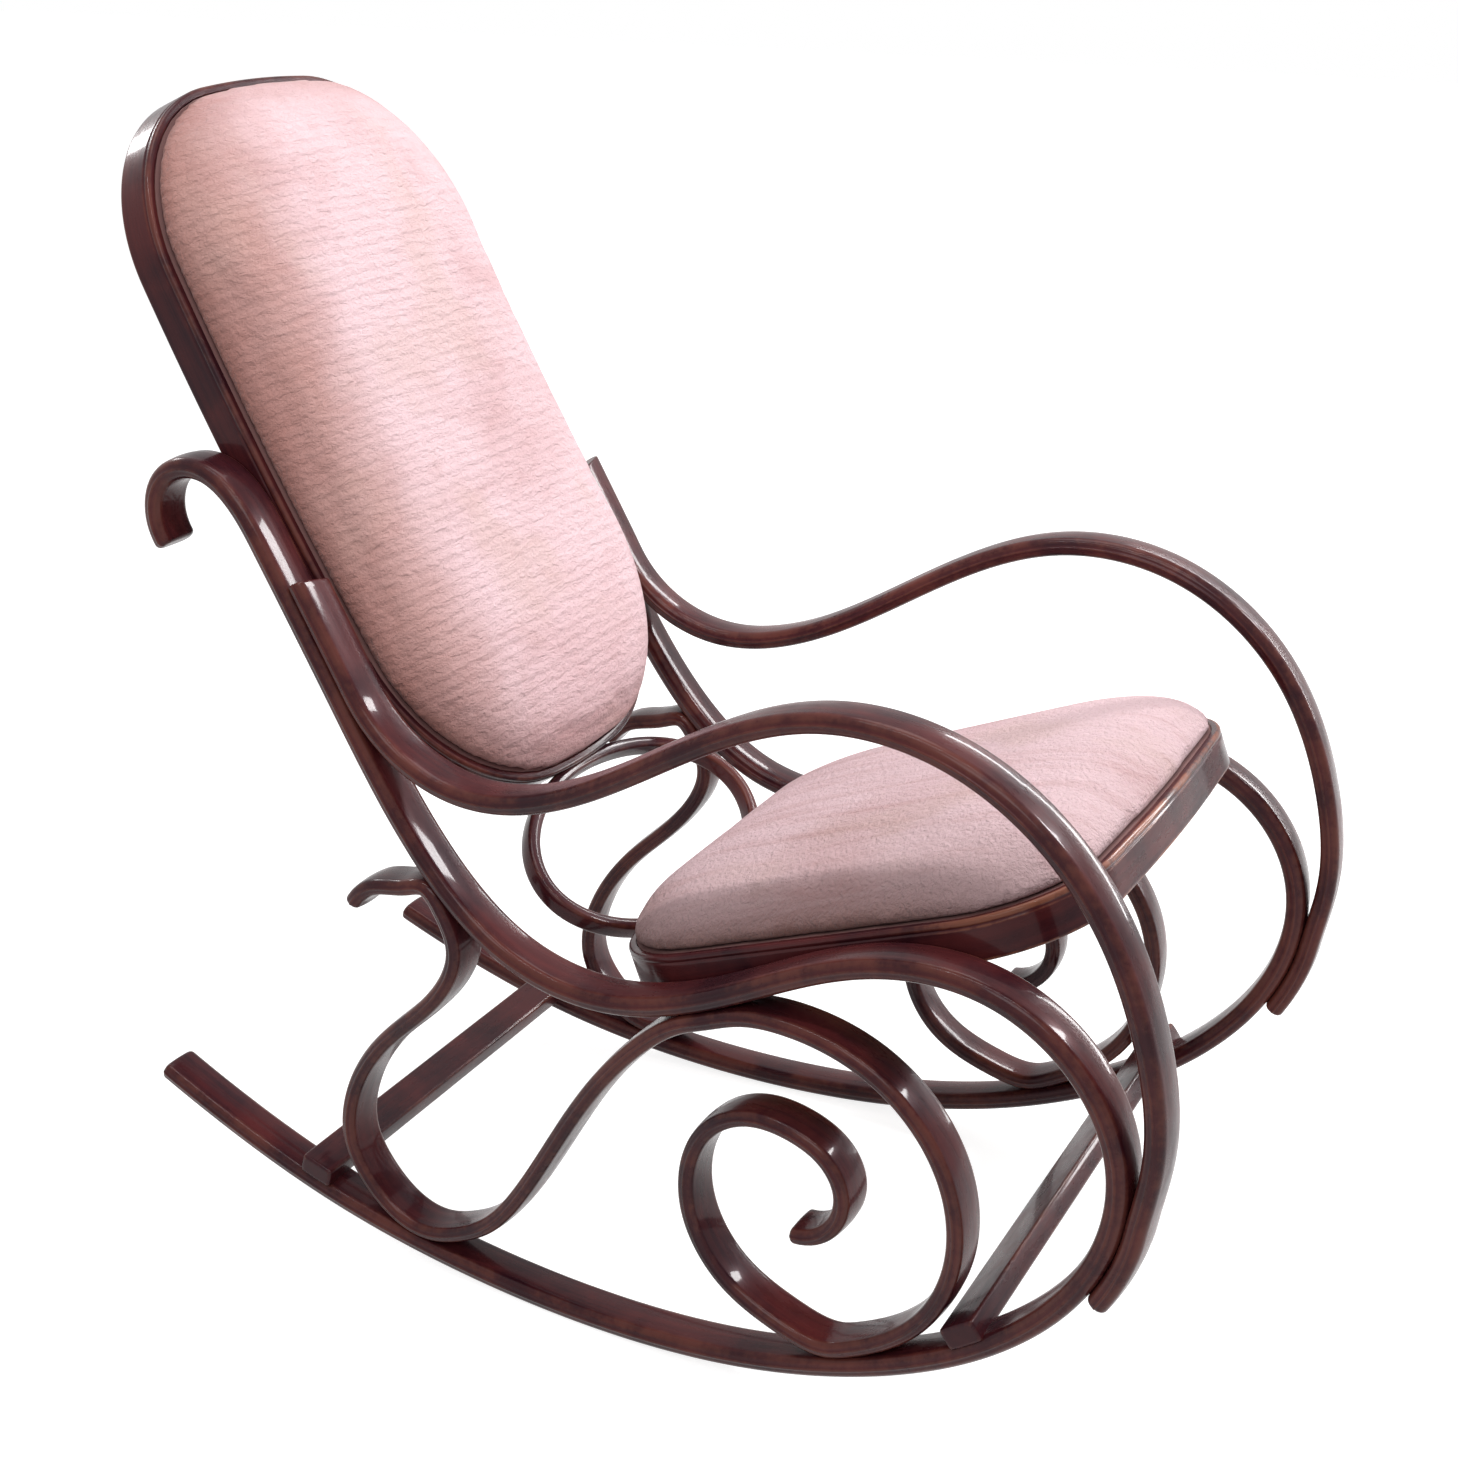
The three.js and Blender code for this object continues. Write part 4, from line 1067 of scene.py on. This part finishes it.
@dataclass
class Back:
    """The back: a hollow-bent hoop and its pad."""

    foot: tuple = (-0.145, 0.44)
    top: tuple = (-0.497, 1.052)
    bend_radius: float = 3.5
    section: HoopSection = HoopSection(rear_rebate=3 * MM)
    foot_reach: float = 165 * MM
    top_reach: float = 145 * MM
    foot_bow: float = 16 * MM
    top_bow: float = 14 * MM
    middle_share: float = 0.9
    fit: float = 0.3 * MM
    crown: float = 58 * MM
    frame_side: SideFrame = field(default_factory=lambda: SideFrame(Side.LEFT))

    def sheet(self) -> BentSheet:
        """The plane of the back, bent about an axis in front of it."""
        plane, chord = slanted_plane(self.foot, self.top, True)
        return BentSheet(plane, chord, self.bend_radius)

    def build(self, finishes: Finishes) -> None:
        """Makes the hoop and the pad, both bent about an axis in front of the back.

        Args:
            finishes: the chair's materials.
        """
        sheet = self.sheet()
        length = sheet.length
        middle = sheet.plane.origin + sheet.plane.first * length / 2
        half = inner_half(middle[0], middle[2], self.frame_side) - self.fit
        outline = rounded_outline([
            (self.foot_bow, -half, self.foot_reach), (length - self.top_bow, -half, self.top_reach),
            (length, 0, (half - self.top_reach) * self.middle_share),
            (length - self.top_bow, half, self.top_reach), (self.foot_bow, half, self.foot_reach),
            (0, 0, (half - self.foot_reach) * self.middle_share)], OUTLINE_STEP)
        hoop = band("back_hoop_bent", outline, self.section.points(), sheet)
        dress(hoop, finishes.lacquer, "lacquered_wood", "back_hoop")
        pad = Pad("back_pad_plush", offset(outline, -self.section.pad_inset()), self.crown)
        obj = pad.build(sheet)
        dress(obj, finishes.back_plush, "plush", "back_pad")


@dataclass
class Pad:
    """A stuffed pad: drawn in at its foot, round at its edge and crowned."""

    name: str
    outline: np.ndarray
    crown: float
    foot: float = -0.4 * MM
    drawn: float = 3 * MM
    base_shares: tuple = (0.35, 0.7, 0.97)
    edge_power: float = 0.5
    rings: int = 28
    voxel: float = 5 * MM
    pressure: float = 4.0
    stiffness: float = 12.0
    bending: float = 1.5
    frames: int = 20
    cap: float = 5 * MM
    held: float = 14 * MM
    # height up to which the soil and painted shade reach from the pad's foot
    foot_soil_and_shade: float = 47 * MM
    soil_and_shade_power: float = 1.1

    def shell(self) -> tuple:
        """Rings over the pad: share (cos t)^p of the outline, at height c sin t.

        Returns:
            Vertices as (a, b, h) and the faces.
        """
        centre = self.outline.mean(axis=0)
        turn = np.linspace(0, QUARTER, self.rings)[:-1]
        share = np.concatenate([self.base_shares, np.cos(turn) ** self.edge_power])
        rise = self.foot + self.drawn + (self.crown - self.drawn) * np.sin(turn)
        height = np.concatenate([np.full(len(self.base_shares), self.foot), rise])
        flat = centre + share[:, None, None] * (self.outline - centre)
        tall = np.broadcast_to(height[:, None], flat.shape[:2])
        grid = np.concatenate([flat, tall[..., None]], axis=-1).reshape(-1, 3)
        ends = np.array([[*centre, self.foot], [*centre, self.foot + self.crown]])
        number = np.arange(len(grid)).reshape(tall.shape)
        low, high = np.full_like(number[0], len(grid)), np.full_like(number[0], len(grid) + 1)
        faces = bridge(number[:-1], number[1:])
        faces += np.stack([low, np.roll(number[0], -1), number[0]], axis=-1).tolist()
        faces += np.stack([high, number[-1], np.roll(number[-1], -1)], axis=-1).tolist()
        return np.concatenate([grid, ends]), faces

    def build(self, surface: object) -> bpy.types.Object:
        """The pad in the row frame, swollen by cloth pressure.

        Its attribute "foot", the mask of soil and painted shade at the pad's foot, is (1 - h /
        reach)^power at a height h under that reach.

        Args:
            surface: the plane or bent sheet that it stands on.

        Returns:
            The new object.
        """
        points, faces = self.shell()
        moved = surface.place(points[:, 0], points[:, 1], points[:, 2])
        obj = build_mesh(self.name, moved, faces)
        outwards(obj)
        apply_modifier(obj, "REMESH", mode="VOXEL", voxel_size=self.voxel, use_smooth_shade=True)
        apply_modifier(obj, "SMOOTH", factor=0.5, iterations=4)
        self.swell(obj, surface)
        apply_modifier(obj, "SUBSURF", levels=1, render_levels=1)
        obj.data.polygons.foreach_set("use_smooth", np.ones(len(obj.data.polygons), dtype=bool))
        # mask of soil and painted shade: 1 at the foot, 0 from the reach height up
        low = np.clip(1 - surface.height(vertices(obj)) / self.foot_soil_and_shade, 0, 1)
        foot = obj.data.attributes.new("foot", "FLOAT", "POINT")
        foot.data.foreach_set("value", low ** self.soil_and_shade_power)
        return obj

    def swell(self, obj: bpy.types.Object, surface: object) -> None:
        """Lets cloth pressure swell the pad, and holds each point near its start.

        A point moves outwards only, by its share (0 at the foot, 1 above held) of
        cap tanh(d / cap), where d is how far the cloth took it.

        Args:
            obj: the pad.
            surface: the plane or bent sheet that it stands on.
        """
        start = vertices(obj)
        normal = np.empty(len(start) * 3)
        obj.data.vertex_normals.foreach_get("vector", normal)
        normal = normal.reshape(-1, 3)
        cloth = obj.modifiers.new("cloth", "CLOTH")
        settings = cloth.settings
        settings.use_pressure = True
        settings.uniform_pressure_force = self.pressure
        settings.effector_weights.gravity = 0
        settings.quality = 5
        settings.tension_stiffness = self.stiffness
        settings.compression_stiffness = self.stiffness
        settings.bending_stiffness = self.bending
        cloth.point_cache.frame_start = 1
        cloth.point_cache.frame_end = self.frames
        scene = bpy.context.scene
        for number in range(1, self.frames + 1):
            scene.frame_set(number)
        solved = obj.evaluated_get(bpy.context.evaluated_depsgraph_get())
        swollen = np.empty(len(solved.data.vertices) * 3)
        solved.data.vertices.foreach_get("co", swollen)
        obj.modifiers.remove(cloth)
        scene.frame_set(1)
        move = swollen.reshape(-1, 3) - start
        inwards = np.minimum(np.sum(move * normal, axis=1, keepdims=True), 0)
        move = move - normal * inwards
        far = np.linalg.norm(move, axis=1, keepdims=True)
        share = np.clip(surface.height(start) / self.held, 0, 1)[:, None]
        reach = share * self.cap * np.tanh(far / self.cap)
        obj.data.vertices.foreach_set("co", (start + move * reach / np.maximum(far, 1e-9)).ravel())
        obj.data.update()


def vertices(obj: bpy.types.Object) -> np.ndarray:
    """Vertices of an object, as an array of 3 columns."""
    found = np.empty(len(obj.data.vertices) * 3)
    obj.data.vertices.foreach_get("co", found)
    return found.reshape(-1, 3)


def outwards(obj: bpy.types.Object) -> None:
    """Turns the faces of a closed mesh outwards.

    Args:
        obj: the piece that has the mesh.
    """
    bpy.context.view_layer.objects.active = obj
    bpy.ops.object.select_all(action="DESELECT")
    obj.select_set(True)
    bpy.ops.object.mode_set(mode="EDIT")
    bpy.ops.mesh.select_all(action="SELECT")
    bpy.ops.mesh.normals_make_consistent(inside=False)
    bpy.ops.object.mode_set(mode="OBJECT")


def apply_modifier(obj: bpy.types.Object, kind: str, **settings: object) -> None:
    """Adds a modifier and applies it.

    Args:
        obj: the piece.
        kind: type of the modifier.
        settings: the modifier's own settings.
    """
    modifier = obj.modifiers.new(kind.lower(), kind)
    for key, setting in settings.items():
        setattr(modifier, key, setting)
    with bpy.context.temp_override(object=obj, active_object=obj, selected_objects=[obj]):
        bpy.ops.object.modifier_apply(modifier=modifier.name)


@dataclass
class RingBrace:
    """The oval brace between the seat hoop and the back hoop, bitten into both."""

    half_width: float = 177.5 * MM
    thickness: float = 13 * MM
    height: float = 17.5 * MM
    bite: float = 5 * MM
    seat_share: float = 0.8
    back_share: float = 0.5
    radius: float = 4 * MM
    crown: float = 0.3 * MM
    stations: int = 240

    def build(self, seat: Seat, back: Back, finishes: Finishes) -> None:
        """Makes the ring: a rounded section carried round an ellipse.

        Args:
            seat: the seat, for the place of its hoop's rear end.
            back: the back, for the place of its hoop's foot.
            finishes: the chair's materials.
        """
        seat_plane, _ = seat.plane()
        sheet = back.sheet()
        back_plane = sheet.plane
        face = back_plane.second * math.cos(sheet.half) + back_plane.first * math.sin(sheet.half)
        low = seat_plane.origin - seat_plane.second * seat.section.height * self.seat_share
        high = back_plane.origin - face * back.section.height * self.back_share
        length = np.linalg.norm(high - low)
        along = (high - low) / length
        across = np.array([0.0, 1.0, 0.0])
        plane = Plane((low + high) / 2, along, across, np.cross(along, across))
        reach = length / 2 + self.bite
        turn = np.linspace(0, 2 * math.pi, self.stations + 1)[:-1]
        outline = np.stack([reach * np.cos(turn), self.half_width * np.sin(turn)], axis=1)
        section = bar_section(self.height, self.thickness, self.radius, self.crown)
        section[:, 1] -= self.thickness / 2
        ring = band("ring_brace_bent", outline, section, plane)
        dress(ring, finishes.lacquer, "lacquered_wood", "ring_brace")


@dataclass
class Stretcher:
    """A bar across the two runners, let down over them a little."""

    name: str
    share: tuple
    width: float = 35 * MM
    thickness: float = 20 * MM
    housing: float = 2.5 * MM
    radius: float = 3 * MM
    crown: float = 0.3 * MM
    middle_reach: float = 0.8
    middle_steps: int = 9

    def build(self, frame_side: SideFrame, finishes: Finishes) -> None:
        """Makes the bar: X(t, j) = C + section j, at t of the way to the outer faces.

        Its ends are eased by quarter circles.

        Args:
            frame_side: the left side frame.
            finishes: the chair's materials.
        """
        bow = frame_side.bow_path()
        spot = frame_side.nearest(bow, self.share)
        up = -left_normals(bow, False)[spot]
        along = np.array([up[1], -up[0]])
        plane = frame_side.plane()
        rise = (frame_side.bow_thickness + self.thickness) / 2 - self.housing
        middle = bow[spot] + up * rise
        seen = plane.place(middle[0], 0.0, middle[1]) - CENTRING
        section = bar_section(self.width, self.thickness, self.radius, self.crown)
        turn = np.linspace(0, QUARTER, 5)
        level = np.zeros(self.middle_steps)
        ease = self.radius * (1 - np.sin(turn))
        inset = self.radius * (1 - np.cos(turn))
        size = np.concatenate([ease, level, ease[::-1]])
        shrink = 1 - size[:, None, None] / (np.array([self.width, self.thickness]) / 2)
        drawn = section * shrink
        x = seen[0] + drawn[..., 0] * along[0] + drawn[..., 1] * up[0]
        z = seen[2] + drawn[..., 0] * along[1] + drawn[..., 1] * up[1]
        reach = inner_half(x, z, frame_side) + frame_side.width
        middle = np.linspace(-self.middle_reach, self.middle_reach, self.middle_steps)
        end = np.ones(len(turn))
        share = np.concatenate([-end, middle, end])
        pulled = np.concatenate([inset, level, -inset[::-1]])
        y = share[:, None] * reach + pulled[:, None]
        rings = np.stack([x, y, z], axis=-1) + CENTRING
        obj = carried(f"{self.name}_bar", rings, False, y[:, 0], section)
        dress(obj, finishes.lacquer, "lacquered_wood", self.name)


@dataclass
class Screws:
    """Slotted countersunk heads in place of the plain CAD screws."""

    slot_width: float = 1.1 * MM
    slot_depth: float = 0.9 * MM
    slot_draft: float = 0.02
    dome: float = 0.25 * MM
    neck_share: float = 0.45
    neck_depth: float = 3.6 * MM
    tail_share: float = 0.42
    cells: int = 14

    def head(self, name: str, node: bpy.types.Object) -> bpy.types.Object:
        """A screw at a CAD screw's place: a slotted disc on a tapering shank.

        Args:
            name: name of the piece.
            node: the CAD screw.

        Returns:
            The new object. Its head is the disc x = u sqrt(1 - v^2 / 2),
            y = v sqrt(1 - u^2 / 2), sunk along the slot.
        """
        points = vertices(node)
        centre = (points.max(axis=0) + points.min(axis=0)) / 2
        _, _, turned = np.linalg.svd(points - points.mean(axis=0), full_matrices=False)
        axis = turned[0]
        reach = (points - centre) @ axis
        radial = np.linalg.norm(points - centre - np.outer(reach, axis), axis=1)
        if reach[np.argmax(radial)] < 0:
            axis, reach = -axis, -reach
        radius, top, foot = radial.max(), reach.max(), reach.min()
        grid = np.linspace(-1, 1, self.cells + 1)
        half = self.slot_width / 2 / radius
        brink = half + self.slot_draft
        grid = np.sort(np.concatenate([grid, [-brink, -half, half, brink]]))
        u, v = np.meshgrid(grid, np.linspace(-1, 1, self.cells + 1), indexing="ij")
        x, y = u * np.sqrt(1 - v ** 2 / 2), v * np.sqrt(1 - u ** 2 / 2)
        sunk = np.where(np.abs(u) <= half + 0.001, self.slot_depth, 0)
        level = top - sunk - self.dome * (x ** 2 + y ** 2) ** 2
        side = np.cross(axis, [0.3, 0.2, 0.9])
        side /= np.linalg.norm(side)
        over = np.cross(axis, side)
        disc = (centre + np.multiply.outer(x * radius, side) + np.multiply.outer(y * radius, over)
                + np.multiply.outer(level, axis))
        number = np.arange(u.size).reshape(u.shape)
        quads = np.stack([number[:-1, :-1], number[1:, :-1], number[1:, 1:], number[:-1, 1:]], axis=-1)
        rim = np.concatenate([number[:, 0], number[-1, 1:], number[-2::-1, -1], number[0, -2:0:-1]])
        base = disc.reshape(-1, 3)
        ring = base[rim] - centre
        inward = ring - np.outer(ring @ axis, axis)
        neck = centre + inward * self.neck_share + axis * (top - self.neck_depth)
        tail = centre + inward * self.tail_share + axis * foot
        low = len(base) + np.arange(len(rim))
        last = low + len(rim)
        faces = quads.reshape(-1, 4).tolist() + bridge(rim, low) + bridge(low, last) + [last.tolist()]
        obj = build_mesh(name, np.concatenate([base, neck, tail]), faces, smooth=False)
        outwards(obj)
        return obj

    def build(self, nodes: dict, finishes: Finishes) -> None:
        """Replaces every CAD screw."""
        for name, node in nodes.items():
            if name.startswith("screw_"):
                dress(self.head(f"{name}_slotted", node), finishes.steel, "steel", name)


@dataclass(frozen=True)
class Lamp:
    """A soft rectangular lamp of that many watts, turned about its aim by degrees."""

    name: str
    place: tuple
    target: tuple
    size: tuple
    power: float
    roll: float = 0.0

    def build(self) -> None:
        """Hangs the lamp at its place, facing its target."""
        data = bpy.data.lights.new(self.name, "AREA")
        data.shape = "RECTANGLE"
        data.size, data.size_y = self.size
        data.energy = self.power
        lamp = bpy.data.objects.new(self.name, data)
        facing = (Vector(self.place) - Vector(self.target)).to_track_quat("Z", "Y").to_matrix()
        lamp.rotation_euler = (facing @ Matrix.Rotation(math.radians(self.roll), 3, "Z")).to_euler()
        lamp.location = self.place
        bpy.context.scene.collection.objects.link(lamp)


@dataclass(frozen=True)
class Studio:
    """Camera, lights, backdrop and floor. The lens and its centre are in pixels."""

    frame_size: float = 1458
    lens: float = 2258.46
    centre: tuple = (728.0, 729.4)
    film: float = 36
    place: tuple = (0.86988, -1.7408, 1.23586)
    azimuth: float = math.radians(26.36)
    elevation: float = math.radians(20.84)
    roll: float = math.radians(0.813)
    fill: float = 0.34
    glow: float = 0.84
    floor_reach: float = 14.0
    floor_gap: float = 0.4 * MM
    lamps: tuple = (
        Lamp("key", (2.3, 1.7, 2.6), (0, 0, 0.5), (0.52, 0.52), 58),
        Lamp("window", (0.55, 2.85, 2.28), (0.3, -0.25, 0.6), (1.2, 0.16), 27, 13),
        Lamp("door", (1.67, 2.85, 1.35), (0.4, -0.25, 0.55), (1.9, 0.16), 38, 53),
        Lamp("top", (-0.3, 0.5, 3.3), (0, 0, 0.4), (1.4, 1.4), 25),
        Lamp("strip", (0.2, -1.1, 3.2), (0.1, 0, 0.5), (2.6, 0.09), 26),
        Lamp("front", (0.8, -2.4, 2.6), (0.1, 0, 0.45), (1.6, 1.2), 26),
        Lamp("rear", (-2.4, 0.5, 1.9), (-0.3, 0, 0.8), (0.5, 0.3), 12))

    def camera(self) -> None:
        """Sets the camera at the photograph's viewing angle."""
        data = bpy.data.cameras.new("camera")
        data.lens = self.film * self.lens / self.frame_size
        data.sensor_width = self.film
        data.shift_x = (self.frame_size / 2 - self.centre[0]) / self.frame_size
        data.shift_y = (self.centre[1] - self.frame_size / 2) / self.frame_size
        camera = bpy.data.objects.new("camera", data)
        matrix = Matrix.Translation(self.place)
        for angle, axis in ((self.azimuth, "Z"), (QUARTER - self.elevation, "X"), (self.roll, "Z")):
            matrix = matrix @ Matrix.Rotation(angle, 4, axis)
        camera.matrix_world = matrix
        bpy.context.scene.collection.objects.link(camera)
        bpy.context.scene.camera = camera

    def world(self) -> None:
        """White where the camera and reflections look, a soft grey light elsewhere."""
        bench = Bench("studio", "worlds", "Background")
        bench.surface(Color=(1, 1, 1, 1), Strength=self.fill + (1 - self.fill) * bench.shown())
        bpy.context.scene.world = bench.block

    def floor(self) -> None:
        """A plain pale floor that keeps the chair's shadow."""
        corners = np.array([[-1, -1, 0], [1, -1, 0], [1, 1, 0], [-1, 1, 0]]) * self.floor_reach
        floor = build_mesh("floor", corners - [0, 0, self.floor_gap], [[0, 1, 2, 3]], smooth=False)
        bench = Bench("pale_floor")
        bench.surface(Base_Color=(0.5, 0.5, 0.5, 1), Roughness=0.9, Specular_IOR_Level=0.1)
        glow = bench.node("ShaderNodeEmission", {}, {"Strength": self.glow * bench.shown()})
        matt = Value(bench, bench.shader.outputs[0])
        both = bench.node("ShaderNodeAddShader", {}, {0: matt, 1: glow})
        bench.feed(bench.tree.nodes["Material Output"].inputs["Surface"], both)
        floor.data.materials.append(bench.block)

    def build(self) -> None:
        """Sets up the whole studio."""
        bpy.context.scene.view_settings.view_transform = "Standard"
        self.camera()
        self.world()
        for lamp in self.lamps:
            lamp.build()
        self.floor()


def main() -> None:
    """Builds the studio and the chair, and reports each piece."""
    logging.basicConfig(level=logging.INFO, format="%(message)s")
    Studio().build()
    finishes = Finishes()
    for side in Side:
        SideFrame(side).build(finishes)
    seat, back = Seat(), Back()
    seat.build(finishes)
    back.build(finishes)
    RingBrace().build(seat, back, finishes)
    nodes = frame["nodes"]
    Screws().build(nodes, finishes)
    for name, share in (("stretcher_rear", (-0.32, 0.0485)), ("stretcher_front", (0.37, 0.119))):
        Stretcher(name, share).build(SideFrame(Side.LEFT), finishes)
    for name, material in (
            ("seat_board", finishes.bare_wood), ("back_board", finishes.shade_wrapped_wood),
            ("back_rear_cover", finishes.back_plush)):
        nodes[name].data.materials.clear()
        nodes[name].data.materials.append(material)
        log.info("node %s dressed", name)
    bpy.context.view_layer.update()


if __name__ == "__main__":
    main()
